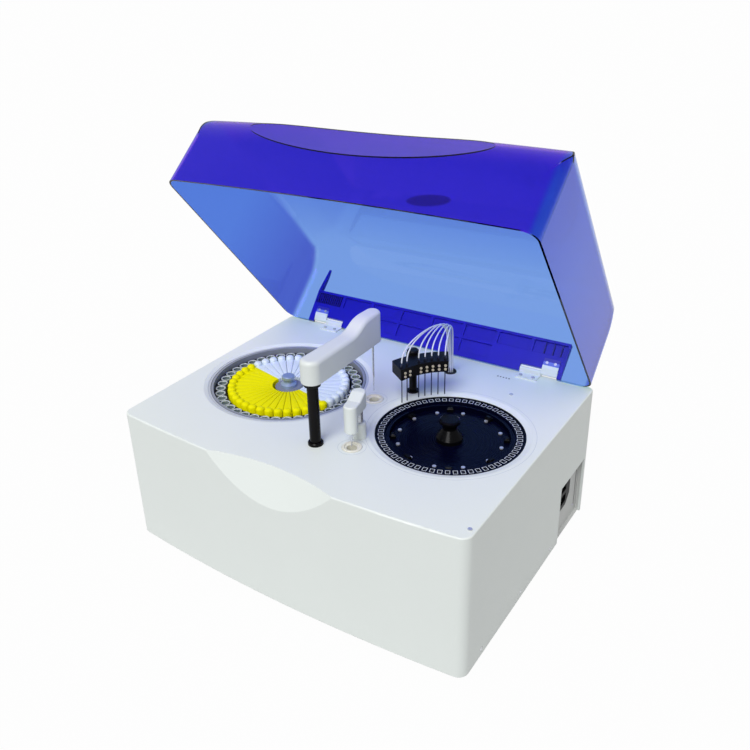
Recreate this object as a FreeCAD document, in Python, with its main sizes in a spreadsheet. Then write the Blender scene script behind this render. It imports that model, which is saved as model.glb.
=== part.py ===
"""Bench-top chemistry analyzer with its lid open: case, two discs, arms, wash station and lid.

Millimetres, +X to the right, +Y to the back, +Z up. The origin is on the bench, under the middle
of the whole with its lid open, which lies a little behind the middle of the case.
"""
import FreeCAD, Part
import math
import os

import Sketcher

V = FreeCAD.Vector
doc = FreeCAD.newDocument("Analyzer")
sheet = doc.addObject("Spreadsheet::Sheet", "Dims")
made_names = []


class Size:
    """A dimension that knows its number and the sheet formula that gives it."""

    def __init__(self, number, formula):
        self.number = float(number)
        self.formula = formula

    def __float__(self):
        return self.number

    def __neg__(self):
        return Size(-self.number, "(-" + self.formula + ")")

    def __add__(self, other):
        return Size(self.number + float(other), "(" + self.formula + " + " + text(other) + ")")

    def __radd__(self, other):
        return Size(float(other) + self.number, "(" + text(other) + " + " + self.formula + ")")

    def __sub__(self, other):
        return Size(self.number - float(other), "(" + self.formula + " - " + text(other) + ")")

    def __rsub__(self, other):
        return Size(float(other) - self.number, "(" + text(other) + " - " + self.formula + ")")

    def __mul__(self, other):
        return Size(self.number * float(other), "(" + self.formula + " * " + text(other) + ")")

    def __rmul__(self, other):
        return Size(float(other) * self.number, "(" + text(other) + " * " + self.formula + ")")

    def __truediv__(self, other):
        return Size(self.number / float(other), "(" + self.formula + " / " + text(other) + ")")


def text(value):
    """The formula of a size, or a plain number written out."""
    if isinstance(value, Size):
        return value.formula
    return "(" + format(float(value), ".6f") + ")"


def dim(name, value):
    """Writes one driving dimension into the sheet and returns it as a Size."""
    row = len(made_names) + 1
    made_names.append(name)
    sheet.set("A" + str(row), name)
    sheet.set("B" + str(row), str(value))
    sheet.setAlias("B" + str(row), name)
    return Size(value, "Dims." + name)



# Case

case_width = dim("case_width", 690)
case_depth = dim("case_depth", 508)
case_height = dim("case_height", 261.5)
front_bow = dim("front_bow", 18)
foot_height = dim("foot_height", 8)
case_wall = dim("case_wall", 4)
front_corner = dim("front_corner", 18.5)
rear_corner = dim("rear_corner", 12)
top_round = dim("top_round", 2.5)
scoop_back = dim("scoop_back", 23)
scoop_down = dim("scoop_down", 66)
scoop_radius = dim("scoop_radius", 443)
pan_sheet = dim("pan_sheet", 1.5)
pan_flange = dim("pan_flange", 22)
sheet_gap = dim("sheet_gap", 0.3)
foot_radius = dim("foot_radius", 16)
foot_inset = dim("foot_inset", 45)
rear_window_margin = dim("rear_window_margin", 34)
recess_length = dim("recess_length", 116)
recess_height = dim("recess_height", 120)
recess_depth = dim("recess_depth", 10)
recess_rear = dim("recess_rear", 16)
inlet_size = dim("inlet_size", 64)
inlet_rise = dim("inlet_rise", 87)
inlet_ahead = dim("inlet_ahead", 99)
screw_radius = dim("screw_radius", 2)
screw_head = dim("screw_head", 4)
screw_head_depth = dim("screw_head_depth", 2.2)

open_overhang = dim("open_overhang", 44.44)
case_middle = -open_overhang
half_width = case_width / 2
chord_y = case_middle + (front_bow - case_depth) / 2
back_y = chord_y + case_depth
deck = foot_height + case_height
under_deck = deck - case_wall
pan_top = foot_height + pan_sheet

# Reagent side

reagent_x = dim("reagent_x", -162.2)
reagent_y = case_middle + dim("reagent_back", 10.5)
reagent_opening = dim("reagent_opening", 154.4)
reagent_bevel = dim("reagent_bevel", 7.6)
bevel_depth = dim("bevel_depth", 3)
well_gap = dim("well_gap", 0.4)
well_flange = dim("well_flange", 7)
well_flange_thick = dim("well_flange_thick", 3)
reagent_wall = dim("reagent_wall", 10)
reagent_well_depth = dim("reagent_well_depth", 84)
well_floor = dim("well_floor", 6)
disc_running_gap = dim("disc_running_gap", 2)
disc_plate = dim("disc_plate", 4)
disc_floor_gap = dim("disc_floor_gap", 3)
channel_inner = dim("channel_inner", 120.8)
bottle_margin = dim("bottle_margin", 3)
channel_wall = dim("channel_wall", 2)
channel_top = dim("channel_top", 14)
bottle_count = 40
yellow_first = 19
yellow_count = 20
cup_count = 40
bottle_inner = dim("bottle_inner", 31)
bottle_gap = dim("bottle_gap", 0.7)
bottle_top = dim("bottle_top", 10)
mouth_ring = dim("mouth_ring", 107)
mouth_radius = dim("mouth_radius", 7.2)
mouth_bore = dim("mouth_bore", 4.5)
mouth_rise = dim("mouth_rise", 6)
cup_depth = dim("cup_depth", 34)
cup_wall = dim("cup_wall", 1.0)
cup_rim = dim("cup_rim", 1.6)
cup_lip = dim("cup_lip", 1.7)
cup_gap = dim("cup_gap", 0.4)
hub_radius = dim("hub_radius", 26)
shaft_radius = dim("shaft_radius", 6)
running_gap = dim("running_gap", 0.05)
bearing_radius = dim("bearing_radius", 14)
motor_radius = dim("motor_radius", 28)
motor_height = dim("motor_height", 48)
knob_radius = dim("knob_radius", 12.5)
knob_top = dim("knob_top", 8)

# Reaction side

reaction_x = dim("reaction_x", 190)
reaction_y = case_middle + dim("reaction_back", -2.7)
reaction_opening = dim("reaction_opening", 126)
reaction_bevel = dim("reaction_bevel", 10)
reaction_wall = dim("reaction_wall", 1.6)
reaction_well_depth = dim("reaction_well_depth", 62)
slot_count = 60
slot_ring = dim("slot_ring", 115.5)
slot_phase = dim("slot_phase", 2)
slot_long = dim("slot_long", 10)
slot_wide = dim("slot_wide", 8)
slot_drop = dim("slot_drop", 5)
cuvette_gap = dim("cuvette_gap", 0.15)
cuvette_wall = dim("cuvette_wall", 0.8)
cuvette_depth = dim("cuvette_depth", 42)
ring_thick = dim("ring_thick", 6)
ring_inner = dim("ring_inner", 101)
ring_step = dim("ring_step", 3)
plate_drop = dim("plate_drop", 16)
rotor_screw_count = 12
rotor_screw_ring = dim("rotor_screw_ring", 88)
rotor_screw_phase = dim("rotor_screw_phase", 11.7)

# Arms

probe_x = dim("probe_x", 19.3)
probe_y = case_middle + dim("probe_back", -150.4)
probe_slot_angle = dim("probe_slot_angle", 272)
probe_rest_angle = dim("probe_rest_angle", 89.2)
probe_column_radius = dim("probe_column_radius", 9.5)
probe_flange_radius = dim("probe_flange_radius", 13)
probe_under = dim("probe_under", 117)
probe_near_height = dim("probe_near_height", 41)
probe_far_height = dim("probe_far_height", 58)
probe_near_round = dim("probe_near_round", 18)
probe_far_round = dim("probe_far_round", 14)
needle_tip = dim("needle_tip", 16.5)
needle_step = dim("needle_step", 45)
needle_thick = dim("needle_thick", 1.5)
needle_thin = dim("needle_thin", 0.8)
mixer_well_x = dim("mixer_well_x", 76.7)
mixer_well_y = case_middle + dim("mixer_well_back", -128.2)
mixer_slot_angle = dim("mixer_slot_angle", 218)
mixer_side = dim("mixer_side", 19)
mixer_column_radius = dim("mixer_column_radius", 6)
mixer_boss_radius = dim("mixer_boss_radius", 11.5)
mixer_boss_height = dim("mixer_boss_height", 29)
mixer_under = dim("mixer_under", 58)
mixer_top = dim("mixer_top", 87)
mixer_head_bottom = dim("mixer_head_bottom", 28.7)
mixer_head_top = dim("mixer_head_top", 79)
mixer_head_radius = dim("mixer_head_radius", 11.5)
paddle_tip = dim("paddle_tip", 2)
paddle_width = dim("paddle_width", 4)
wash_well_radius = dim("wash_well_radius", 17)
wash_well_depth = dim("wash_well_depth", 48)
wash_well_mouth = dim("wash_well_mouth", 9)
wash_well_rise = dim("wash_well_rise", 1.6)
rod_radius = dim("rod_radius", 4)
rod_spacing = dim("rod_spacing", 34)
carriage_height = dim("carriage_height", 24)
carriage_drop = dim("carriage_drop", 6)

# Wash station

wash_x = dim("wash_x", 67.3)
wash_y = case_middle + dim("wash_back", 88.7)
wash_column_radius = dim("wash_column_radius", 7)
wash_block_bottom = dim("wash_block_bottom", 57)
wash_block_top = dim("wash_block_top", 78)
wash_inner = dim("wash_inner", 107)
wash_outer = dim("wash_outer", 146)
wash_first = dim("wash_first", 119)
wash_last = dim("wash_last", 169)
wash_tip = dim("wash_tip", 8)
wash_needle = dim("wash_needle", 1.0)
wash_fitting = dim("wash_fitting", 2.2)
tube_radius = dim("tube_radius", 1.3)
grommet_x = dim("grommet_x", 90)
grommet_y = case_middle + dim("grommet_back", 192)

# Lid and hinges, in the lid's own directions: ahead of the pivot and up from it when closed

open_angle = dim("open_angle", 50)
pivot_rise = dim("pivot_rise", 8.5)
pivot_inset = dim("pivot_inset", 5)
lid_wall = dim("lid_wall", 3.5)
lid_rise = dim("lid_rise", 171)
lid_gap = dim("lid_gap", 1)
lid_back = dim("lid_back", 3)
lid_lean = dim("lid_lean", 12)
lid_bow = dim("lid_bow", 9)
lid_setback = dim("lid_setback", 3)
lid_back_round = dim("lid_back_round", 85)
lid_front_round = dim("lid_front_round", 90)
lid_shoulder = dim("lid_shoulder", 195)
lid_shoulder_x = dim("lid_shoulder_x", 257)
lid_shoulder_kink = dim("lid_shoulder_kink", 1)
lid_edge_round = dim("lid_edge_round", 36)
lid_rear_corner = dim("lid_rear_corner", 28)
lid_front_corner = dim("lid_front_corner", 26)
lid_scoop_back = dim("lid_scoop_back", 62)
lid_scoop_down = dim("lid_scoop_down", 94)
lid_scoop_half = dim("lid_scoop_half", 235)
strip_left = dim("strip_left", -290)
strip_right = dim("strip_right", 285)
strip_top = dim("strip_top", 62)
strip_thick_top = dim("strip_thick_top", 11)
strip_thick_foot = dim("strip_thick_foot", 3)
hinge_inner = dim("hinge_inner", 204)
hinge_split = dim("hinge_split", 245)
hinge_outer = dim("hinge_outer", 276)
knuckle_radius = dim("knuckle_radius", 4.5)
pin_radius = dim("pin_radius", 2)
hinge_foot = dim("hinge_foot", 26)
hinge_foot_thick = dim("hinge_foot_thick", 3)
leaf_rise = dim("leaf_rise", 26)
leaf_thick = dim("leaf_thick", 2.2)
leaf_screw = dim("leaf_screw", 1.6)
notch_rise = dim("notch_rise", 7)

lid_axis_y = back_y - pivot_inset
lid_axis_z = deck + pivot_rise
pieces = []


def bind(thing, **sizes):
    """Gives an object its properties, each tied to the sheet where it is a Size."""
    for name, size in sizes.items():
        setattr(thing, name, float(size))
        if isinstance(size, Size):
            thing.setExpression(name, size.formula)


def stand(thing, x=0, y=0, z=0, turn=0):
    """Places an object, tied to the sheet, turned about the vertical."""
    thing.Placement = FreeCAD.Placement(V(float(x), float(y), float(z)), FreeCAD.Rotation(V(0, 0, 1), float(turn)))
    for axis, size in (("x", x), ("y", y), ("z", z)):
        if isinstance(size, Size):
            thing.setExpression("Placement.Base." + axis, size.formula)
    return thing


def keep(thing):
    """Notes an object as one of the finished sub-parts."""
    pieces.append(thing)
    return thing


def outline(sketch, corners):
    """Draws a closed outline whose every corner is tied to the sheet."""
    spots = [V(float(a), float(b), 0) for a, b in corners]
    count = len(spots)
    for i in range(count):
        sketch.addGeometry(Part.LineSegment(spots[i], spots[(i + 1) % count]), False)
    for i in range(count):
        sketch.addConstraint(Sketcher.Constraint("Coincident", i, 2, (i + 1) % count, 1))
    for i, (a, b) in enumerate(corners):
        for kind, size in (("DistanceX", a), ("DistanceY", b)):
            index = sketch.addConstraint(Sketcher.Constraint(kind, i, 1, float(size)))
            if isinstance(size, Size):
                sketch.setExpression("Constraints[" + str(index) + "]", size.formula)


def sketched(body, role, corners):
    """Adds an outline to a body on one of its own planes."""
    sketch = body.newObject("Sketcher::SketchObject", body.Label + "_outline")
    plane = [f for f in body.Origin.OriginFeatures if f.Role == role][0]
    sketch.AttachmentSupport = [(plane, "")]
    sketch.MapMode = "FlatFace"
    outline(sketch, corners)
    return sketch


def turned(label, corners, x=0, y=0, z=0):
    """A piece turned on a lathe: its corners are (radius, height) pairs about its own axis."""
    body = doc.addObject("PartDesign::Body", label)
    body.Label = label
    sketch = sketched(body, "XZ_Plane", corners)
    turn = body.newObject("PartDesign::Revolution", label + "_turn")
    turn.Profile = sketch
    turn.ReferenceAxis = (sketch, ["V_Axis"])
    turn.Angle = 360
    stand(body, x, y, z)
    return body


def box(label, length, width, height, x, y, z):
    """A block as a primitive tied to the sheet, placed by its low corner."""
    block = doc.addObject("Part::Box", label)
    bind(block, Length=length, Width=width, Height=height)
    return stand(block, x, y, z)


def formed(label, shape):
    """A sub-part whose form is worked out by the functions below."""
    thing = doc.addObject("Part::Feature", label)
    thing.Label = label
    thing.Shape = shape
    return keep(thing)


def polar(x, y, radius, degrees):
    """The point at a radius and direction from a centre."""
    angle = math.radians(float(degrees))
    return float(x) + float(radius) * math.cos(angle), float(y) + float(radius) * math.sin(angle)


def prism(corners, depth, level):
    """A block with a plan outline of straight sides."""
    points = [V(float(a), float(b), float(level)) for a, b in corners]
    return Part.Face(Part.makePolygon(points + [points[0]])).extrude(V(0, 0, float(depth)))


def disc(radius, height, x, y, z, sides=0):
    """A round bar, or one with a few flats where many of them repeat."""
    if not sides:
        return Part.makeCylinder(float(radius), float(height), V(float(x), float(y), float(z)))
    step = 360.0 / sides
    corners = [polar(x, y, radius, (k + 0.5) * step) for k in range(sides)]
    return prism(corners, height, z)


def bar(start, way, radius, length, sides):
    """A round bar in any direction, or one with a few flats where many of them repeat."""
    if not sides:
        return Part.makeCylinder(float(radius), length, start, way)
    shape = disc(radius, length, 0, 0, 0, sides)
    shape.Placement = FreeCAD.Placement(start, FreeCAD.Rotation(V(0, 0, 1), way))
    return shape


def joined(shapes):
    """Several shapes as one."""
    first = shapes[0]
    if len(shapes) > 1:
        first = first.fuse(shapes[1:]).removeSplitter()
    return first


def bowed_face(inset, bow, front, back, level):
    """A plan outline whose front edge is an arc that bulges towards the user."""
    half = float(half_width) - inset
    radius = (float(half_width) ** 2 + bow ** 2) / (2 * bow)
    centre = front - bow + radius
    corner = centre - math.sqrt((radius - inset) ** 2 - half ** 2)
    middle = front - bow + inset
    spots = [V(-half, back, level), V(half, back, level), V(half, corner, level), V(-half, corner, level)]
    lines = [Part.LineSegment(spots[3], spots[0]), Part.LineSegment(spots[0], spots[1])]
    lines.append(Part.LineSegment(spots[1], spots[2]))
    lines.append(Part.Arc(spots[2], V(0, middle, level), spots[3]))
    return Part.Face(Part.Wire([line.toShape() for line in lines]))


def upright_edges(shape, front):
    """The vertical corner edges at the front or at the back of a shape."""
    found = []
    for edge in shape.Edges:
        lone = edge.BoundBox
        if lone.ZLength > 0.6 * shape.BoundBox.ZLength and lone.XLength + lone.YLength < 0.01:
            if (edge.CenterOfMass.y < shape.BoundBox.Center.y) == front:
                found.append(edge)
    return found


def scoop_cutter(back, down, radius, corner, inset):
    """The round tool whose pass leaves the hollow in a front edge."""
    slope = math.hypot(back, down)
    depth = back * down / slope
    outward = V(0, -down / slope, back / slope)
    along = V(0, back / slope, down / slope)
    axis = corner + outward * (radius - depth)
    reach = 3 * slope + 150
    return Part.makeCylinder(radius + inset, 2 * reach, axis - along * reach, along)


def case_block(inset):
    """The case as a plain block, drawn in on every side by an inset."""
    low = float(foot_height)
    face = bowed_face(inset, float(front_bow), float(chord_y), float(back_y) - inset, low)
    block = face.extrude(V(0, 0, float(case_height) - inset))
    block = block.makeFillet(float(front_corner) - inset, upright_edges(block, True))
    block = block.makeFillet(float(rear_corner) - inset, upright_edges(block, False))
    if not inset:
        rim = [e for e in block.Edges if abs(e.CenterOfMass.z - float(deck)) < 0.01]
        block = block.makeFillet(float(top_round), rim)
    corner = V(0, float(chord_y) - float(front_bow), float(deck))
    tool = scoop_cutter(float(scoop_back), float(scoop_down), float(scoop_radius), corner, inset)
    return block.cut(tool)


def opening(x, y, radius, bevel):
    """A round hole in the deck with a wide shallow bevel."""
    hole = disc(radius, float(case_wall) + 2, x, y, float(under_deck) - 1)
    outer = float(radius) + float(bevel)
    slope = (outer - float(radius)) / float(bevel_depth)
    over = 1.0
    ring = Part.makeCone(float(radius), outer + slope * over, float(bevel_depth) + over,
                         V(float(x), float(y), float(deck) - float(bevel_depth)))
    return [hole, ring]


# Places that several pieces share

probe_slot = polar(reaction_x, reaction_y, slot_ring, probe_slot_angle)
arm_length = math.dist((float(probe_x), float(probe_y)), probe_slot)
probe_well = polar(probe_x, probe_y, arm_length, probe_rest_angle)
mixer_slot = polar(reaction_x, reaction_y, slot_ring, mixer_slot_angle)
mixer_well = (float(mixer_well_x), float(mixer_well_y))
between = ((mixer_well[0] + mixer_slot[0]) / 2, (mixer_well[1] + mixer_slot[1]) / 2)
apart = math.dist(mixer_well, mixer_slot)
mixer_x = between[0] - float(mixer_side) * (mixer_slot[1] - mixer_well[1]) / apart
mixer_y = between[1] + float(mixer_side) * (mixer_slot[0] - mixer_well[0]) / apart
mixer_length = math.dist((mixer_x, mixer_y), mixer_well)
mixer_rest = math.degrees(math.atan2(mixer_well[1] - mixer_y, mixer_well[0] - mixer_x))


def first_mouth_angle():
    """The direction at which a bottle mouth lies under the sampling needle's circle."""
    dx = float(probe_x) - float(reagent_x)
    dy = float(probe_y) - float(reagent_y)
    span = math.hypot(dx, dy)
    ring = float(mouth_ring)
    share = (span ** 2 + ring ** 2 - arm_length ** 2) / (2 * span * ring)
    return math.degrees(math.atan2(dy, dx)) + math.degrees(math.acos(share))


bottle_phase = first_mouth_angle()
inlet_y = back_y - inlet_ahead
recess_back = back_y - recess_rear
recess_front = recess_back - recess_length
recess_top = foot_height + recess_height
side_screw_rise = foot_height + pan_flange / 2 + 1
side_screw_spots = [chord_y + 60, chord_y + 210, chord_y + 340]
window_half = half_width - rear_window_margin
window_low = foot_height + rear_window_margin
window_high = under_deck - rear_window_margin / 2


def side_screws(shape_of):
    """One shape at every screw along the foot of both sides."""
    shapes = []
    for side in (-1, 1):
        for spot in side_screw_spots:
            shapes.append(shape_of(side, float(spot), float(side_screw_rise)))
    return shapes


def side_bar(side, y, z, radius, start, depth):
    """A round bar that points into the case from a side."""
    x = side * (float(half_width) - start)
    return Part.makeCylinder(float(radius), float(depth), V(x, y, z), V(-side, 0, 0))


def recess_cutter(grow=0.0):
    """The window for the inlet panel, low at the back of the right side."""
    length = float(recess_length) + 2 * grow
    height = float(recess_height) + 20 + grow
    corner = V(float(half_width) - 15, float(recess_front) - grow, float(foot_height) - 20)
    return Part.makeBox(30, length, height, corner)


def rear_panel_screw_spots():
    """Where the rear panel is fixed."""
    x = float(window_half) + 9
    low = float(window_low) + 20
    high = float(window_high) - 20
    return [(side * x, z) for side in (-1, 1) for z in (low, (low + high) / 2, high)]


def make_cover():
    """The moulded case: deck, front and sides in one, open below."""
    shell = case_block(0.0).cut(case_block(float(case_wall)))
    tools = opening(reagent_x, reagent_y, reagent_opening, reagent_bevel)
    tools += opening(reaction_x, reaction_y, reaction_opening, reaction_bevel)
    through = float(case_wall) + 2
    for x, y, radius in round_deck_holes():
        tools.append(disc(radius, through, x, y, float(under_deck) - 1))
    tools.append(recess_cutter())
    tools += side_screws(lambda side, y, z: side_bar(side, y, z, float(screw_radius) + 0.2, -1, 8))
    tools += side_screws(lambda side, y, z: side_bar(side, y, z, float(screw_head) + 0.3, -1,
                                                     1 + float(screw_head_depth) + 0.2))
    wide = 2 * float(window_half)
    tall = float(window_high) - float(window_low)
    rear = V(-float(window_half), float(back_y) - 10, float(window_low))
    tools.append(Part.makeBox(wide, 20, tall, rear))
    for x, z in rear_panel_screw_spots():
        tools.append(Part.makeCylinder(float(screw_radius), 20, V(x, float(back_y) - 10, z), V(0, 1, 0)))
    return shell.cut(tools)


def round_deck_holes():
    """Every small round hole in the deck, as its place and radius."""
    gap = float(well_gap)
    holes = [(probe_well[0], probe_well[1], float(wash_well_radius) + gap)]
    holes.append((mixer_well[0], mixer_well[1], float(wash_well_radius) + gap))
    holes.append((float(probe_x), float(probe_y), float(probe_column_radius) + 2))
    holes.append((mixer_x, mixer_y, float(mixer_column_radius) + 2))
    holes.append((float(wash_x), float(wash_y), float(wash_column_radius) + 2))
    holes.append((float(grommet_x), float(grommet_y), float(grommet_bore) + 2))
    for side in (-1, 1):
        for x in hinge_screw_spots():
            holes.append((side * x, float(hinge_screw_y), float(screw_radius)))
    for x, y in deck_screw_spots():
        holes.append((x, y, float(screw_radius)))
    return holes


grommet_bore = dim("grommet_bore", 8)
hinge_screw_ahead = dim("hinge_screw_ahead", 19)
hinge_screw_y = lid_axis_y - hinge_screw_ahead
leaf_screw_rise = dim("leaf_screw_rise", 18)


def hinge_screw_spots():
    """Where each fixed leaf is screwed down, across the case."""
    middle = (float(hinge_inner) + float(hinge_split)) / 2
    return [middle - 12, middle + 12]


def leaf_screw_spots():
    """Where each moving leaf is screwed on, across the lid."""
    middle = (float(hinge_split) + float(hinge_outer)) / 2
    return [middle - 8, middle + 8]


def deck_screw_spots():
    """The two screws seen on the right of the deck."""
    corner = (float(half_width) - 9.5, float(chord_y) + 23.5)
    service = (float(half_width) - 118.3, float(back_y) - 98.6)
    return [corner, service]


formed("main_cover", make_cover())


def make_pan():
    """The folded floor pan, with threaded holes in its flanges and pegs for the board."""
    inset = float(case_wall) + float(sheet_gap)
    face = bowed_face(inset, float(front_bow), float(chord_y), float(back_y) - inset, float(foot_height))
    block = face.extrude(V(0, 0, float(pan_flange)))
    block = block.makeFillet(float(front_corner) - inset, upright_edges(block, True))
    block = block.makeFillet(float(rear_corner) - inset, upright_edges(block, False))
    deep = inset + float(pan_sheet)
    face = bowed_face(deep, float(front_bow), float(chord_y), float(back_y) - deep, float(pan_top))
    hollow = face.extrude(V(0, 0, float(pan_flange)))
    tools = [hollow]
    tools += side_screws(lambda side, y, z: side_bar(side, y, z, screw_radius, 0, 12))
    gap = float(sheet_gap)
    low = V(float(half_width) - 40, float(recess_front) - 4 - gap, float(pan_top))
    tools.append(Part.makeBox(60, float(recess_length) + 8 + 2 * gap, 40, low))
    foot_holes = [disc(screw_radius, 20, x, y, 0) for x, y in foot_spots()]
    pan = block.cut(tools + foot_holes)
    pegs = [disc(3, board_rise, x, y, pan_top) for x, y in board_peg_spots()]
    return joined([pan] + pegs)


def foot_spots():
    """The places of the four feet."""
    x = float(half_width) - float(foot_inset)
    front = float(chord_y) + float(foot_inset)
    back = float(back_y) - float(foot_inset)
    return [(side * x, y) for side in (-1, 1) for y in (front, back)]


board_rise = dim("board_rise", 8)
board_length = dim("board_length", 170)
board_width = dim("board_width", 110)
board_x = dim("board_x", -240)
board_y = case_middle + dim("board_back", 130)


def board_peg_spots():
    """The four pegs that the control board stands on."""
    x = float(board_width) / 2 - 8
    y = float(board_length) / 2 - 8
    return [(float(board_x) + a * x, float(board_y) + b * y) for a in (-1, 1) for b in (-1, 1)]


formed("bottom_pan", make_pan())


def copies(label, master, spots):
    """Identical pieces, each at its own spot, as one sub-part."""
    doc.recompute()
    shapes = []
    for spot in spots:
        shape = master.Shape.copy()
        shape.translate(V(float(spot[0]), float(spot[1]), float(spot[2]) if len(spot) > 2 else 0))
        shapes.append(shape)
    return formed(label, Part.makeCompound(shapes))


# Feet

foot_corners = [
    (0, 0),
    (foot_radius - 2, 0),
    (foot_radius, 2),
    (foot_radius - 1, foot_height),
    (screw_radius, foot_height),
    (screw_radius, foot_height + pan_sheet),
    (0, foot_height + pan_sheet),
]
foot_master = turned("foot", foot_corners)
copies("rubber_feet", foot_master, foot_spots())


# Rear panel, inlet panel and power inlet

def make_rear_panel():
    """A flat sheet behind the rear window, with rows of louvre slots."""
    wide = 2 * (float(window_half) + 18)
    low = float(window_low) - 11
    tall = float(window_high) + 9 - low
    y = float(back_y) - float(case_wall) - float(pan_sheet)
    panel = Part.makeBox(wide, float(pan_sheet), tall, V(-wide / 2, y, low))
    tools = []
    for side in (-1, 1):
        for k in range(7):
            z = low + 46 + 16 * k
            tools.append(Part.makeBox(110, 8, 4, V(side * 170 - 55, y - 3, z)))
    for x, z in rear_panel_screw_spots():
        tools.append(Part.makeCylinder(float(screw_radius), 20, V(x, y - 10, z), V(0, 1, 0)))
    return panel.cut(tools)


formed("rear_panel", make_rear_panel())


def octagon(y, z, size, corner):
    """An eight-sided outline on the side of the case, about its middle."""
    half = size / 2
    near = half - corner
    return [(y - half, z - near), (y - near, z - half), (y + near, z - half), (y + half, z - near),
            (y + half, z + near), (y + near, z + half), (y - near, z + half), (y - half, z + near)]


def side_prism(corners, x, depth):
    """A block with an outline in the YZ plane, running to the right from x."""
    points = [V(x, float(a), float(b)) for a, b in corners]
    return Part.Face(Part.makePolygon(points + [points[0]])).extrude(V(depth, 0, 0))


inlet_corner = dim("inlet_corner", 17)
inlet_flange = dim("inlet_flange", 3)
inlet_depth = dim("inlet_depth", 26)
panel_face = half_width - recess_depth
inlet_z = foot_height + inlet_rise


def make_inlet_panel():
    """A shallow tray behind the window: it carries the inlet and has a slot and a tall gap."""
    x = float(panel_face) - float(pan_sheet)
    lip = float(case_wall)
    y0 = float(recess_front) - lip
    y1 = float(recess_back) + lip
    z0 = float(pan_top)
    z1 = float(recess_top) + lip
    deep = float(recess_depth) - lip + float(pan_sheet)
    outer = Part.makeBox(deep, y1 - y0, z1 - z0, V(x, y0, z0))
    t = float(pan_sheet)
    inner = Part.makeBox(deep, y1 - y0 - 2 * t, z1 - z0 - t + 5, V(x + t, y0 + t, z0 - 5))
    tools = [inner]
    hole = octagon(float(inlet_y), float(inlet_z), float(inlet_size) - 8, float(inlet_corner) - 2)
    tools.append(side_prism(hole, x - 5, 10))
    tools.append(Part.makeBox(10, 40, 4, V(x - 5, float(inlet_y) - 19, float(recess_top) - 8)))
    tools.append(Part.makeBox(10, 6, 100, V(x - 5, y1 - 16, float(pan_top) + 16)))
    return outer.cut(tools)


formed("inlet_panel", make_inlet_panel())


def make_inlet():
    """A black panel inlet: flange, body behind the panel, deep socket and three pins."""
    y = float(inlet_y)
    z = float(inlet_z)
    size = float(inlet_size)
    corner = float(inlet_corner)
    flange = side_prism(octagon(y, z, size, corner), float(panel_face), float(inlet_flange))
    depth = float(inlet_depth)
    body = side_prism(octagon(y, z, size - 8, corner - 2), float(panel_face) - depth, depth)
    socket = Part.makeBox(18, 26, 18, V(float(panel_face) + float(inlet_flange) - 18, y - 13, z - 22))
    switch = Part.makeBox(5, 26, 16, V(float(panel_face) + float(inlet_flange) - 5, y - 13, z + 4))
    shape = flange.fuse(body).cut([socket, switch])
    pins = []
    for dy, dz in ((-7, -15), (0, -11), (7, -15)):
        corner_at = V(float(panel_face) + float(inlet_flange) - 19, y + dy - 1, z + dz - 2)
        pins.append(Part.makeBox(15, 2, 4, corner_at))
    return joined([shape] + pins)


formed("power_inlet", make_inlet())


# Reagent well, its disc and what it carries

reagent_floor = deck - reagent_well_depth
reagent_base = reagent_floor - well_floor
well_rim = deck - bevel_depth - 0.5
reagent_out = reagent_opening - well_gap
reagent_in = reagent_out - reagent_wall


def well_corners(out, inner, floor, base, bore, flange):
    """The section of a well that hangs under the deck by a flange."""
    return [
        (bore, base),
        (out, base),
        (out, under_deck - well_flange_thick),
        (flange, under_deck - well_flange_thick),
        (flange, under_deck),
        (out, under_deck),
        (out, well_rim),
        (inner, well_rim),
        (inner, floor),
        (bore, floor),
    ]


reagent_well_section = well_corners(reagent_out, reagent_in, reagent_floor, reagent_base,
                                    bearing_radius, reagent_out + well_flange)
keep(turned("reagent_well", reagent_well_section, reagent_x, reagent_y, 0))

disc_out = reagent_in - disc_running_gap
disc_low = reagent_floor + disc_floor_gap
disc_high = disc_low + disc_plate
channel_outer = disc_out - channel_wall
channel_level = deck - channel_top
reagent_disc_section = [
    (shaft_radius, disc_low),
    (disc_out, disc_low),
    (disc_out, channel_level),
    (channel_outer, channel_level),
    (channel_outer, disc_high),
    (channel_inner + channel_wall, disc_high),
    (channel_inner + channel_wall, channel_level),
    (channel_inner, channel_level),
    (channel_inner, disc_high),
    (hub_radius, disc_high),
    (hub_radius, channel_level),
    (shaft_radius, channel_level),
]
keep(turned("reagent_disc", reagent_disc_section, reagent_x, reagent_y, 0))



def shaft_section(low, high, collar_low, collar_high):
    """A drive shaft with a collar that lifts the disc off its bearing."""
    collar = shaft_radius + 3
    return [
        (0, low),
        (shaft_radius, low),
        (shaft_radius, collar_low),
        (collar, collar_low),
        (collar, collar_high),
        (shaft_radius, collar_high),
        (shaft_radius, high),
        (0, high),
    ]


def bearing_section(low, high):
    """A flanged bearing bush in the floor of a well."""
    return [
        (shaft_radius + running_gap, low),
        (bearing_radius, low),
        (bearing_radius, high),
        (shaft_radius + running_gap, high),
    ]


def motor_section(high):
    """A round motor hung under a well, with a pilot bore for the shaft."""
    low = high - motor_height
    return [
        (shaft_radius + running_gap, low),
        (motor_radius - 4, low),
        (motor_radius, low + 4),
        (motor_radius, high),
        (shaft_radius + running_gap, high),
    ]


reagent_shaft_section = shaft_section(reagent_base - motor_height + 2, channel_level,
                                      reagent_floor + 0.3, disc_low)
keep(turned("reagent_shaft", reagent_shaft_section, reagent_x, reagent_y, 0))
keep(turned("reagent_bearing", bearing_section(reagent_base, reagent_floor), reagent_x, reagent_y, 0))
keep(turned("reagent_motor", motor_section(reagent_base), reagent_x, reagent_y, 0))

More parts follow.
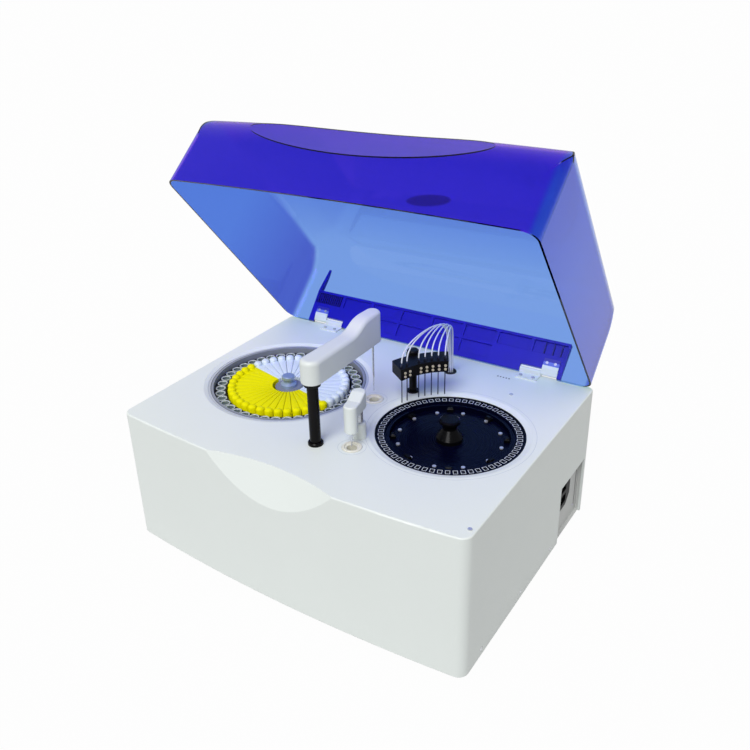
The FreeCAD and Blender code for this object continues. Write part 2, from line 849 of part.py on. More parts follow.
knob_high = deck + knob_top
reagent_knob_section = [
    (0, channel_level),
    (knob_radius + 3, channel_level),
    (knob_radius + 3, channel_level + 5),
    (knob_radius - 3, channel_level + 9),
    (knob_radius - 3, knob_high - 8),
    (knob_radius, knob_high - 6),
    (knob_radius, knob_high - 1.5),
    (knob_radius - 2, knob_high),
    (0, knob_high),
]
keep(turned("reagent_knob", reagent_knob_section, reagent_x, reagent_y, 0))


def bottle(index):
    """A wedge bottle with its mouth at the outer end, open down its neck."""
    pitch = 360.0 / bottle_count
    angle = float(bottle_phase) + index * pitch
    ax, ay = polar(0, 0, 1, angle)
    gap = float(bottle_gap)
    share = math.tan(math.radians(pitch / 2))
    inner = float(bottle_inner)
    outer = float(channel_inner) - float(bottle_margin)
    middle = float(mouth_ring)
    level = float(disc_high)

    def spot(r, across):
        return (float(reagent_x) + r * ax - across * ay, float(reagent_y) + r * ay + across * ax)

    plan = []
    for side in (1, -1):
        near = inner * share - gap / 2
        far = middle * share - gap / 2
        edge = [(inner, near), (middle + 2, far), (outer, far - 3.5)]
        if side < 0:
            edge.reverse()
        plan += [spot(r, side * across) for r, across in edge]
    body = prism(plan, float(deck) - float(bottle_top) - level, level)
    x, y = spot(middle, 0)
    top = float(deck) - float(bottle_top)
    neck = disc(mouth_radius, float(mouth_rise), x, y, top, 8)
    bore = disc(mouth_bore, 46, x, y, top + float(mouth_rise) - 45, 6)
    return body.fuse(neck).cut(bore)


def bottles(first, count):
    """A run of bottles round the disc."""
    return Part.makeCompound([bottle(k % bottle_count) for k in range(first, first + count)])


formed("yellow_bottles", bottles(yellow_first, yellow_count))
formed("white_bottles", bottles(yellow_first + yellow_count, bottle_count - yellow_count))


def sample_cup(x, y):
    """An open cup that hangs by its rim between the two walls of the channel."""
    level = float(channel_level)
    width = float(channel_outer) - float(channel_inner) - float(channel_wall)
    radius = width / 2 - float(cup_gap)
    depth = float(cup_depth)
    body = disc(radius, depth, x, y, level - depth, 8)
    rim = disc(radius + float(cup_lip), float(cup_rim), x, y, level, 8)
    bore = disc(radius - float(cup_wall), depth + 10, x, y, level - depth + 3, 8)
    return body.fuse(rim).cut(bore)


def make_cups():
    """The ring of sample cups round the bottles."""
    ring = (float(channel_outer) + float(channel_inner) + float(channel_wall)) / 2
    pitch = 360.0 / cup_count
    cups = [sample_cup(*polar(reagent_x, reagent_y, ring, k * pitch)) for k in range(cup_count)]
    return Part.makeCompound(cups)


formed("sample_cups", make_cups())


# Reaction well, its rotor and the cuvettes

reaction_floor = deck - reaction_well_depth
reaction_base = reaction_floor - well_floor
reaction_out = reaction_opening - well_gap
reaction_in = reaction_out - reaction_wall
reaction_well_section = well_corners(reaction_out, reaction_in, reaction_floor, reaction_base,
                                     bearing_radius, reaction_out + well_flange)
keep(turned("reaction_well", reaction_well_section, reaction_x, reaction_y, 0))

ring_top = deck - slot_drop
ring_out = reaction_in - disc_running_gap / 2
plate_level = deck - plate_drop
rotor_low = plate_level - 8
rotor_section = [
    (shaft_radius, rotor_low),
    (ring_inner + 4, rotor_low),
    (ring_inner + 4, ring_top - ring_thick),
    (ring_out, ring_top - ring_thick),
    (ring_out, ring_top),
    (slot_ring - slot_long / 2 - 2, ring_top),
    (slot_ring - slot_long / 2 - 2, ring_top - ring_step),
    (ring_inner, ring_top - ring_step),
    (ring_inner, plate_level - 3),
    (shaft_radius, plate_level - 3),
]
rotor_master = turned("rotor_blank", rotor_section, reaction_x, reaction_y, 0)


def slot_block(index, long, wide, low, high):
    """A block that lies over one place of the cuvette ring."""
    block = Part.makeBox(long, wide, high - low, V(float(slot_ring) - long / 2, -wide / 2, low))
    block.rotate(V(0, 0, 0), V(0, 0, 1), float(slot_phase) + index * 360.0 / slot_count)
    block.translate(V(float(reaction_x), float(reaction_y), 0))
    return block


def make_rotor():
    """The cuvette ring with its web: one turned piece with a window for every cuvette."""
    doc.recompute()
    low = float(ring_top) - 20
    high = float(deck) + 5
    windows = [slot_block(k, float(slot_long), float(slot_wide), low, high) for k in range(slot_count)]
    holes = []
    for x, y in rotor_screw_spots():
        holes.append(disc(screw_radius, 30, x, y, float(rotor_low) - 5, 8))
    return rotor_master.Shape.cut(windows + holes)


def rotor_screw_spots():
    """Where the centre plate is screwed down."""
    step = 360.0 / rotor_screw_count
    return [polar(reaction_x, reaction_y, rotor_screw_ring, float(rotor_screw_phase) + k * step)
            for k in range(rotor_screw_count)]


formed("reaction_rotor", make_rotor())


def cuvette(index):
    """A clear square tube with a floor, hung in its window of the ring."""
    gap = float(cuvette_gap)
    long = float(slot_long) - 2 * gap
    wide = float(slot_wide) - 2 * gap
    wall = float(cuvette_wall)
    top = float(ring_top) + 0.6
    low = top - float(cuvette_depth)
    outer = slot_block(index, long, wide, low, top)
    inner = slot_block(index, long - 2 * wall, wide - 2 * wall, low + wall, top + 2)
    return outer.cut(inner)


formed("cuvettes", Part.makeCompound([cuvette(k) for k in range(slot_count)]))

centre_plate_section = [
    (shaft_radius, plate_level - 3),
    (ring_inner - 0.5, plate_level - 3),
    (ring_inner - 0.5, plate_level),
    (shaft_radius, plate_level),
]
plate_master = turned("plate_blank", centre_plate_section, reaction_x, reaction_y, 0)
doc.recompute()
plate_holes = [disc(screw_radius, 20, x, y, float(plate_level) - 10, 8) for x, y in rotor_screw_spots()]
formed("centre_plate", plate_master.Shape.cut(plate_holes))

pan_head = dim("pan_head", 3.4)
pan_head_height = dim("pan_head_height", 2.2)


def pan_screws(spots, level, depth):
    """Pan-head screws that stand on a level and reach down into it."""
    screws = []
    for x, y in spots:
        head = disc(pan_head, float(pan_head_height), x, y, level, 8)
        shank = disc(screw_radius, depth, x, y, level - depth, 8)
        screws.append(head.fuse(shank))
    return Part.makeCompound(screws)


formed("rotor_screws", pan_screws(rotor_screw_spots(), float(plate_level), 7.0))

spool_foot = dim("spool_foot", 23)
spool_waist = dim("spool_waist", 12)
spool_head = dim("spool_head", 18)
spool_top = dim("spool_top", 24)
rotor_knob_section = [
    (0, plate_level),
    (spool_foot, plate_level),
    (spool_foot, plate_level + 7),
    (spool_waist, plate_level + 22),
    (spool_waist, plate_level + 27),
    (spool_head, plate_level + 34),
    (spool_head, plate_level + 38),
    (spool_head - 3, plate_drop + plate_level + spool_top),
    (0, plate_drop + plate_level + spool_top),
]
keep(turned("rotor_knob", rotor_knob_section, reaction_x, reaction_y, 0))

reaction_shaft_section = shaft_section(reaction_base - motor_height + 2, plate_level,
                                       reaction_floor + 0.3, rotor_low)
keep(turned("reaction_shaft", reaction_shaft_section, reaction_x, reaction_y, 0))
keep(turned("reaction_bearing", bearing_section(reaction_base, reaction_floor), reaction_x, reaction_y, 0))
keep(turned("reaction_motor", motor_section(reaction_base), reaction_x, reaction_y, 0))

# Wash wells in the deck

wash_flange = dim("wash_flange", 3)
wash_well_section = [
    (0, deck - wash_well_depth),
    (wash_well_mouth + 3, deck - wash_well_depth),
    (wash_well_mouth + 3, under_deck - 12),
    (wash_well_radius, under_deck - 8),
    (wash_well_radius, under_deck - 3),
    (wash_well_radius + wash_flange, under_deck - 3),
    (wash_well_radius + wash_flange, under_deck),
    (wash_well_radius, under_deck),
    (wash_well_radius, deck + wash_well_rise - 1),
    (wash_well_radius - 1, deck + wash_well_rise),
    (wash_well_radius - 4, deck + wash_well_rise),
    (wash_well_radius - 5, deck + wash_well_rise - 2),
    (wash_well_mouth, deck + wash_well_rise - 3),
    (wash_well_mouth, deck - wash_well_depth + 4),
    (0, deck - wash_well_depth + 4),
]
keep(turned("probe_wash_well", wash_well_section, probe_well[0], probe_well[1], 0))
keep(turned("mixer_wash_well", wash_well_section, mixer_well[0], mixer_well[1], 0))


# Sampling probe

def lift_rods(columns):
    """Guide rods from the floor pan up to the deck, one each side of every lifted column."""
    rods = []
    for x, y, way in columns:
        for side in (0, 180):
            a, b = polar(x, y, rod_spacing / 2, way + side)
            rods.append(disc(rod_radius, float(under_deck) - float(pan_top), a, b, pan_top))
    return Part.makeCompound(rods)


def carriage(label, x, y, way, radius, foot):
    """The block that slides on the rods and turns the column's foot in its bore."""
    long = float(rod_spacing) + 2 * float(rod_radius) + 10
    wide = 2 * float(radius) + 12
    low = float(foot) - 4
    block = Part.makeBox(long, wide, float(carriage_height), V(-long / 2, -wide / 2, low))
    tools = [disc(float(radius) * 0.6 + float(running_gap), 40, 0, 0, foot)]
    for side in (-1, 1):
        spot = side * float(rod_spacing) / 2
        tools.append(disc(float(rod_radius) + float(running_gap), 80, spot, 0, low - 10))
    block = block.cut(tools)
    block.rotate(V(0, 0, 0), V(0, 0, 1), way)
    block.translate(V(float(x), float(y), 0))
    return formed(label, block)


rods_across = 90
rods_past_well = 123
mixer_rods_way = math.degrees(math.atan2(mixer_y - float(reaction_y), mixer_x - float(reaction_x))) + rods_past_well


probe_under_z = deck + probe_under
column_foot = reagent_base - carriage_drop - carriage_height
probe_column_section = [
    (0, column_foot + 0.3),
    (probe_column_radius * 0.6, column_foot + 0.3),
    (probe_column_radius * 0.6, column_foot + carriage_height - 3.7),
    (probe_column_radius, column_foot + carriage_height - 3.7),
    (probe_column_radius, probe_under_z + 18),
    (0, probe_under_z + 18),
]
keep(turned("probe_column", probe_column_section, probe_x, probe_y, 0))
probe_flange_section = [
    (probe_column_radius + running_gap, under_deck - 14),
    (probe_column_radius + 1.8, under_deck - 14),
    (probe_column_radius + 1.8, deck),
    (probe_flange_radius, deck),
    (probe_flange_radius, deck + 4),
    (probe_flange_radius - 1.5, deck + 6),
    (probe_column_radius + running_gap, deck + 6),
]
keep(turned("probe_flange", probe_flange_section, probe_x, probe_y, 0))
carriage("probe_carriage", probe_x, probe_y, rods_across, probe_column_radius, column_foot)
formed("lift_rods", lift_rods([(probe_x, probe_y, rods_across), (mixer_x, mixer_y, mixer_rods_way),
                               (wash_x, wash_y, rods_across)]))


def arm_plan(near, far, length, level, height):
    """An arm seen from above: two round ends and straight sides between them."""
    lean = math.acos((near - far) / length)
    a = V(near * math.cos(lean), near * math.sin(lean), level)
    b = V(length + far * math.cos(lean), far * math.sin(lean), level)
    tip = V(length + far, 0, level)
    tail = V(-near, 0, level)

    def mirror(p):
        return V(p.x, -p.y, p.z)

    lines = [Part.LineSegment(a, b), Part.Arc(b, tip, mirror(b)), Part.LineSegment(mirror(b), mirror(a))]
    lines.append(Part.Arc(mirror(a), tail, a))
    wire = Part.Wire([line.toShape() for line in lines])
    return Part.Face(wire).extrude(V(0, 0, height))


def arm_side(corners, half):
    """The arm's side view as a block: straight corners and one smooth rise to the hump."""
    low, near_top, rise_start, rise_end, far_top, back, ahead = corners
    step = rise_end - rise_start
    climb = far_top - near_top
    middle = V(rise_start + step / 2, -half, near_top + climb / 2)
    start = V(rise_start, -half, near_top)
    end = V(rise_end, -half, far_top)
    radius = ((step / 2) ** 2 + (climb / 2) ** 2) / climb
    bend = math.asin(step / 2 / radius) / 2
    first = V(rise_start + radius * math.sin(bend), -half, near_top + radius * (1 - math.cos(bend)))
    second = V(rise_end - radius * math.sin(bend), -half, far_top - radius * (1 - math.cos(bend)))
    lines = [
        Part.LineSegment(V(back, -half, low), V(back, -half, near_top)),
        Part.LineSegment(V(back, -half, near_top), start),
        Part.Arc(start, first, middle),
        Part.Arc(middle, second, end),
        Part.LineSegment(end, V(ahead, -half, far_top)),
        Part.LineSegment(V(ahead, -half, far_top), V(ahead, -half, low)),
        Part.LineSegment(V(ahead, -half, low), V(back, -half, low)),
    ]
    wire = Part.Wire([line.toShape() for line in lines])
    return Part.Face(wire).extrude(V(0, 2 * half, 0))


def top_edges(shape, level):
    """The edges of a shape's upper outline, sides left out."""
    found = []
    for edge in shape.Edges:
        middle = edge.valueAt((edge.FirstParameter + edge.LastParameter) / 2)
        span = edge.BoundBox
        if middle.z > level and max(span.XLength, span.YLength) > 1:
            ends = [v.Point.z for v in edge.Vertexes]
            if min(ends) > level and not crosswise(edge):
                found.append(edge)
    return found


def crosswise(edge):
    """Whether an edge only runs straight across the arm."""
    span = edge.BoundBox
    return span.XLength < 0.01 and span.ZLength < 0.01


arm_round = dim("arm_round", 7)
hump_start = dim("hump_start", 0.52)
hump_length = dim("hump_length", 62)


def make_probe_arm():
    """The sampling arm's cover, in its own directions first, then turned to its rest place."""
    near = float(probe_near_round)
    far = float(probe_far_round)
    tall = float(probe_far_height)
    body = arm_plan(near, far, arm_length, 0, tall + 20)
    start = float(hump_start) * arm_length
    corners = (0, float(probe_near_height), start, start + float(hump_length), tall,
               -near - 10, arm_length + far + 10)
    body = body.common(arm_side(corners, near + 5))
    body = body.makeFillet(float(arm_round), top_edges(body, float(probe_near_height) - 1))
    body = body.cut([disc(probe_column_radius, 18, 0, 0, 0), disc(needle_thick, 12, arm_length, 0, 0)])
    return placed_arm(body, probe_x, probe_y, probe_under_z, probe_rest_angle)


def placed_arm(shape, x, y, z, degrees):
    """An arm moved from its own directions to where it stands at rest."""
    shape.rotate(V(0, 0, 0), V(0, 0, 1), float(degrees))
    shape.translate(V(float(x), float(y), float(z)))
    return shape


formed("probe_arm", make_probe_arm())
probe_collar_section = [
    (probe_column_radius, probe_under_z - 7),
    (probe_flange_radius + 1, probe_under_z - 7),
    (probe_flange_radius + 1, probe_under_z),
    (probe_column_radius, probe_under_z),
]
keep(turned("probe_collar", probe_collar_section, probe_x, probe_y, 0))
needle_section = [
    (0, deck + needle_tip),
    (needle_thin, deck + needle_tip + 2),
    (needle_thin, deck + needle_step - 1),
    (needle_thick, deck + needle_step),
    (needle_thick, probe_under_z + 12),
    (0, probe_under_z + 12),
]
keep(turned("probe_needle", needle_section, probe_well[0], probe_well[1], 0))


# Mixer

mixer_boss_section = [
    (mixer_column_radius + running_gap, under_deck - 14),
    (mixer_column_radius + 1.8, under_deck - 14),
    (mixer_column_radius + 1.8, deck),
    (mixer_boss_radius, deck),
    (mixer_boss_radius - 1, deck + mixer_boss_height - 2),
    (mixer_boss_radius - 3, deck + mixer_boss_height),
    (mixer_column_radius + running_gap, deck + mixer_boss_height),
]
keep(turned("mixer_boss", mixer_boss_section, mixer_x, mixer_y, 0))
mixer_column_section = [
    (0, column_foot + 0.3),
    (mixer_column_radius * 0.6, column_foot + 0.3),
    (mixer_column_radius * 0.6, column_foot + carriage_height - 3.7),
    (mixer_column_radius, column_foot + carriage_height - 3.7),
    (mixer_column_radius, deck + mixer_under + 16),
    (0, deck + mixer_under + 16),
]
keep(turned("mixer_column", mixer_column_section, mixer_x, mixer_y, 0))
carriage("mixer_carriage", mixer_x, mixer_y, mixer_rods_way, mixer_column_radius, column_foot)
mixer_collar_section = [
    (mixer_column_radius, deck + mixer_under - 3),
    (mixer_column_radius + 4, deck + mixer_under - 3),
    (mixer_column_radius + 4, deck + mixer_under),
    (mixer_column_radius, deck + mixer_under),
]
keep(turned("mixer_collar", mixer_collar_section, mixer_x, mixer_y, 0))
paddle_stem = dim("paddle_stem", 1.2)


def make_mixer_arm():
    """The mixer's cover: a tall back over the column that drops to a round motor head."""
    under = float(mixer_under)
    low = float(mixer_head_bottom)
    head_top = float(mixer_head_top)
    head = float(mixer_head_radius)
    back = float(mixer_column_radius) + 6
    tall = arm_plan(back, head, mixer_length, under, float(mixer_top) - under)
    side = [(-back - 5, under - 5), (mixer_length + head + 5, under - 5)]
    side += [(mixer_length + head + 5, head_top), (mixer_length - 12, head_top)]
    side += [(3, float(mixer_top)), (-back - 5, float(mixer_top))]
    points = [V(a, -back - 5, b) for a, b in side]
    slab = Part.Face(Part.makePolygon(points + [points[0]])).extrude(V(0, 2 * back + 10, 0))
    tall = tall.common(slab)
    tall = tall.makeFillet(3, top_edges(tall, head_top - 1))
    barrel = disc(head, under + 1 - low, mixer_length, 0, low)
    barrel = barrel.makeFillet(3, [e for e in barrel.Edges if abs(e.CenterOfMass.z - low) < 0.01])
    body = tall.fuse(barrel).removeSplitter()
    body = body.cut([disc(mixer_column_radius, 16, 0, 0, under),
                     disc(float(paddle_stem) + float(running_gap), 14, mixer_length, 0, low - 1)])
    return placed_arm(body, mixer_x, mixer_y, deck, mixer_rest)


formed("mixer_arm", make_mixer_arm())


def make_paddle():
    """The stirring paddle: a thin stem with a flat blade at its foot."""
    tip = float(paddle_tip)
    stem = disc(paddle_stem, float(mixer_head_bottom) + 12 - tip - 8, 0, 0, tip + 8)
    wide = float(paddle_width)
    blade = Part.makeBox(wide, 0.9, 12, V(-wide / 2, -0.45, tip))
    return placed_arm(joined([stem, blade]), mixer_well[0], mixer_well[1], deck, mixer_rest)


formed("mixer_paddle", make_paddle())


# Wash station

wash_needle_angles = [122, 128, 134, 140, 146, 158, 164]
needle_stub = dim("needle_stub", 8)
block_high = deck + wash_block_top
block_low = deck + wash_block_bottom


def wash_arc(radius, angle, level):
    """A point on the wash block, about the middle of the reaction disc."""
    x, y = polar(reaction_x, reaction_y, radius, angle)
    return V(x, y, float(level))


def make_wash_block():
    """A curved block that follows the cuvette ring, with a clamp round its column."""
    first = float(wash_first)
    last = float(wash_last)
    near = float(wash_inner)
    far = float(wash_outer)
    middle = (first + last) / 2
    level = float(block_low)
    back_last = last - 7
    lines = [
        Part.Arc(wash_arc(near, first, level), wash_arc(near, middle, level), wash_arc(near, last, level)),
        Part.LineSegment(wash_arc(near, last, level), wash_arc(far, back_last, level)),
        Part.Arc(wash_arc(far, back_last, level), wash_arc(far, middle, level), wash_arc(far, first, level)),
        Part.LineSegment(wash_arc(far, first, level), wash_arc(near, first, level)),
    ]
    wire = Part.Wire([line.toShape() for line in lines])
    tall = float(block_high) - level
    block = Part.Face(wire).extrude(V(0, 0, tall))
    block = block.makeFillet(2, [e for e in block.Edges if e.BoundBox.ZLength > tall - 0.01])
    clamp = disc(float(wash_column_radius) + 5, tall, wash_x, wash_y, level)
    block = block.fuse(clamp).removeSplitter()
    tools = [disc(wash_column_radius, tall + 2, wash_x, wash_y, level - 1)]
    for angle in wash_needle_angles:
        spot = wash_arc(slot_ring, angle, level)
        tools.append(disc(wash_needle, tall + 2, spot.x, spot.y, level - 1, 8))
    for spot, inward in wash_screw_spots():
        tools.append(bar(spot - inward, inward, wash_pin, 6, 6))
    return block.cut(tools)


wash_pin = dim("wash_pin", 1.6)
wash_screw_rise = dim("wash_screw_rise", 7)


def wash_screw_spots():
    """The clamp screws in the front of the block, in two rows, with the way they point."""
    spots = []
    for row in (0, 1):
        level = float(block_low) + float(wash_screw_rise) * (0.8 + row)
        for angle in wash_needle_angles:
            outer = wash_arc(float(wash_inner), angle, level)
            inward = wash_arc(float(wash_inner) + 1, angle, level) - outer
            spots.append((outer, inward))
    return spots


formed("wash_block", make_wash_block())


def make_wash_screws():
    """Bright clamp screws that hold the needles, heads outside the block."""
    screws = []
    for spot, inward in wash_screw_spots():
        head = bar(spot - inward * 1.63, inward, wash_pin + 0.8, 1.6, 8)
        shank = bar(spot - inward * 0.5, inward, wash_pin, 4.9, 6)
        screws.append(head.fuse(shank))
    return Part.makeCompound(screws)


formed("wash_screws", make_wash_screws())


def make_wash_needles():
    """Steel needles through the block, each with a collar for its tube on top."""
    needles = []
    for angle in wash_needle_angles:
        spot = wash_arc(slot_ring, angle, 0)
        low = float(deck) + float(wash_tip)
        rod = disc(wash_needle, float(block_high) + float(needle_stub) - low, spot.x, spot.y, low, 8)
        collar = disc(wash_fitting, 5, spot.x, spot.y, block_high, 8)
        needles.append(rod.fuse(collar))
    return Part.makeCompound(needles)


formed("wash_needles", make_wash_needles())
wash_column_section = [
    (0, column_foot + 0.3),
    (wash_column_radius * 0.6, column_foot + 0.3),
    (wash_column_radius * 0.6, column_foot + carriage_height - 3.7),
    (wash_column_radius, column_foot + carriage_height - 3.7),
    (wash_column_radius, block_high),
    (wash_column_radius + 4, block_high),
    (wash_column_radius + 4, block_high + 5),
    (wash_column_radius + 2, block_high + 7),
    (0, block_high + 7),
]
keep(turned("wash_column", wash_column_section, wash_x, wash_y, 0))
wash_bush_section = [
    (wash_column_radius + running_gap, under_deck - 20),
    (wash_column_radius + 1.8, under_deck - 20),
    (wash_column_radius + 1.8, deck),
    (wash_column_radius + 4, deck),
    (wash_column_radius + 4, deck + 3),
    (wash_column_radius + running_gap, deck + 3),
]
keep(turned("wash_bush", wash_bush_section, wash_x, wash_y, 0))
grommet_section = [
    (grommet_bore, under_deck - 3),
    (grommet_bore + 4, under_deck - 3),
    (grommet_bore + 4, under_deck),
    (grommet_bore + 1.8, under_deck),
    (grommet_bore + 1.8, deck),
    (grommet_bore + 4, deck),
    (grommet_bore + 3, deck + 2.5),
    (grommet_bore, deck + 2.5),
]
keep(turned("tube_grommet", grommet_section, grommet_x, grommet_y, 0))

carriage("wash_carriage", wash_x, wash_y, rods_across, wash_column_radius, column_foot)


# Wash tubes

bend_radii = []
tube_rise = dim("tube_rise", 12)


def tube_route(index):
    """The corners of one tube's way from its needle up, back and down into the grommet."""
    angle = wash_needle_angles[index]
    start = wash_arc(slot_ring, angle, block_high + needle_stub)
    place = index * 2 * math.pi / len(wash_needle_angles)
    end = V(float(grommet_x) + 4.6 * math.cos(place), float(grommet_y) + 4.6 * math.sin(place), float(deck) - 6)
    high = start.z + float(tube_rise) + 12 + 1.5 * index
    ahead = V(end.x - start.x, end.y - start.y, 0)
    first = V(start.x, start.y, high)
    second = V(end.x, end.y, high + 4) - ahead * 0.10
    third = V(end.x, end.y, float(deck) + 32)
    return [start, first, second, third, end]


def rounded_wire(points):
    """Straight runs joined by tangent arcs, each as large as its two runs allow."""
    edges = []
    here = points[0]
    for before, corner, after in zip(points, points[1:], points[2:]):
        back = before - corner
        ahead = after - corner
        share = 0.45 * min(back.Length, ahead.Length)
        a = corner + back * (share / back.Length)
        b = corner + ahead * (share / ahead.Length)
        half = back.getAngle(ahead) / 2
        radius = share * math.tan(half)
        bend_radii.append(radius)
        inward = back * (1 / back.Length) + ahead * (1 / ahead.Length)
        inward.normalize()
        middle = corner + inward * (radius / math.sin(half) - radius)
        edges.append(Part.LineSegment(here, a).toShape())
        edges.append(Part.Arc(a, middle, b).toShape())
        here = b
    edges.append(Part.LineSegment(here, points[-1]).toShape())
    return Part.Wire(edges)


def make_tubes():
    """Seven thin tubes from the needles into the deck."""
    tubes = []
    for index in range(len(wash_needle_angles)):
        wire = rounded_wire(tube_route(index))
        start = wire.Vertexes[0].Point
        corners = [V(*polar(start.x, start.y, tube_radius, 60 * k), start.z) for k in range(7)]
        tube = wire.makePipeShell([Part.makePolygon(corners)], True, False)
        tubes.append(tube)
    return Part.makeCompound(tubes)


formed("wash_tubes", make_tubes())


# Inside pieces

supply_length = dim("supply_length", 200)
supply_width = dim("supply_width", 100)
supply_height = dim("supply_height", 45)
supply_x = dim("supply_x", 190)
supply_y = case_middle + dim("supply_back", 130)
board_thick = dim("board_thick", 1.6)
pump_radius = dim("pump_radius", 19)
pump_height = dim("pump_height", 52)
pump_spots = [(-60, -190), (-10, -205), (-110, -200)]


def make_board():
    """The control board: a bare plate with its chips and sockets as low blocks."""
    x = float(board_x)
    y = float(board_y)
    wide = float(board_width)
    long = float(board_length)
    level = float(pan_top) + float(board_rise)
    thick = float(board_thick)
    blocks = [Part.makeBox(wide, long, thick, V(x - wide / 2, y - long / 2, level))]
    for dx, dy, a, b, rise in ((-20, -40, 24, 24, 3), (15, 10, 30, 12, 4), (-25, 45, 16, 16, 3), (30, -55, 10, 40, 12)):
        blocks.append(Part.makeBox(a, b, rise, V(x + dx - a / 2, y + dy - b / 2, level + thick)))
    return joined(blocks)


formed("control_board", make_board())
supply = box("power_supply", supply_width, supply_length, supply_height,
             supply_x - supply_width / 2, supply_y - supply_length / 2, pan_top)
keep(supply)


def make_pumps():
    """Three small wash pumps that stand on the floor pan: a motor with a wider head."""
    pumps = []
    for x, back in pump_spots:
        y = float(case_middle) + back
        motor = disc(float(pump_radius) - 4, float(pump_height), x, y, pan_top)
        head = disc(pump_radius, 16, x, y, float(pan_top))
        pumps.append(motor.fuse(head))
    return Part.makeCompound(pumps)


formed("wash_pumps", make_pumps())


# Hinges

def hinge_section(corners, side, start, end):
    """A block with an outline in the hinge's own directions, across one hinge."""
    y = float(lid_axis_y)
    z = float(lid_axis_z)
    points = [V(side * start, y - a, z + b) for a, b in corners]
    return Part.Face(Part.makePolygon(points + [points[0]])).extrude(V(side * (end - start), 0, 0))


def hinge_bar(side, start, end, radius):
    """A round bar on the hinge axis."""
    centre = V(side * start, float(lid_axis_y), float(lid_axis_z))
    return Part.makeCylinder(float(radius), end - start, centre, V(side, 0, 0))


def make_hinge_base(side):
    """The fixed leaf: a foot on the deck and a block round the pin."""
    start = float(hinge_inner)
    end = float(hinge_split)
    r = float(knuckle_radius)
    low = -float(pivot_rise)
    top = low + float(hinge_foot_thick)
    section = [(-r, low), (float(hinge_foot), low), (float(hinge_foot), top), (r, top), (r, 0), (-r, 0)]
    block = hinge_section(section, side, start, end).fuse(hinge_bar(side, start, end, r))
    tools = [hinge_bar(side, start + 2, end + 1, pin_radius)]
    for x in hinge_screw_spots():
        tools.append(disc(screw_radius, 10, side * x, hinge_screw_y, float(deck) - 1))
    return block.removeSplitter().cut(tools)


def strip_face(rise):
    """How far ahead of the pivot the strip's front face lies at a height."""
    foot = float(strip_foot_rise)
    low = inner_back(foot) + float(strip_thick_foot)
    high = inner_back(float(strip_top)) + float(strip_thick_top)
    return low + (high - low) * (rise - foot) / (float(strip_top) - foot)


def inner_back(rise):
    """How far ahead of the pivot the lid's inner back face lies at a height."""
    foot = -float(pivot_rise) + float(lid_gap)
    lean = float(lid_lean) / (float(lid_rise) - foot)
    return -float(lid_back) + lean * (rise - foot) + float(lid_wall) * math.hypot(1, lean)


strip_foot_rise = dim("strip_foot_rise", -7)


def make_leaf(side):
    """The moving leaf: a knuckle on the pin and a plate up the strip's front."""
    start = float(hinge_split) + 0.3
    end = float(hinge_outer)
    r = float(knuckle_radius)
    low = float(notch_rise)
    high = float(leaf_rise)
    thick = float(leaf_thick) * math.hypot(1, strip_face(1) - strip_face(0))
    section = [(0.5, r - 0.1), (r - 0.1, -0.5), (strip_face(low) + thick, low), (strip_face(high) + thick, high),
               (strip_face(high), high), (strip_face(low), low)]
    leaf = hinge_section(section, side, start, end).fuse(hinge_bar(side, start, end, r))
    tools = [hinge_bar(side, start - 1, end + 1, float(pin_radius) + float(running_gap))]
    return leaf.removeSplitter().cut(tools + leaf_screw_bars(side, leaf_screw, 4))


def leaf_screw_lines(side):
    """Where each leaf screw meets the strip's front face, and the way it points."""
    rise = float(leaf_screw_rise)
    way = V(0, 1, strip_face(rise + 1) - strip_face(rise))
    way.normalize()
    y = float(lid_axis_y) - strip_face(rise)
    return [(V(side * x, y, float(lid_axis_z) + rise), way) for x in leaf_screw_spots()]


def leaf_screw_bars(side, radius, depth):
    """Round bars square to the strip's front face, through the leaf and into the strip."""
    return [Part.makeCylinder(float(radius), depth + 4, spot - way * 4, way)
            for spot, way in leaf_screw_lines(side)]




def opened(shape):
    """A piece of the lid turned up from its closed place to its rest place."""
    axis = V(0, float(lid_axis_y), float(lid_axis_z))
    shape.rotate(axis, V(1, 0, 0), -float(open_angle))
    return shape


def make_pins():
    """The two hinge pins, held in the fixed leaves."""
    return Part.makeCompound([hinge_bar(side, float(hinge_inner) + 2, float(hinge_outer), pin_radius)
                              for side in (-1, 1)])


formed("hinge_base_left", make_hinge_base(-1))
formed("hinge_base_right", make_hinge_base(1))
formed("hinge_pins", make_pins())
formed("hinge_leaf_left", opened(make_leaf(-1)))
formed("hinge_leaf_right", opened(make_leaf(1)))


# Lid, made closed in the hinge's directions and then opened

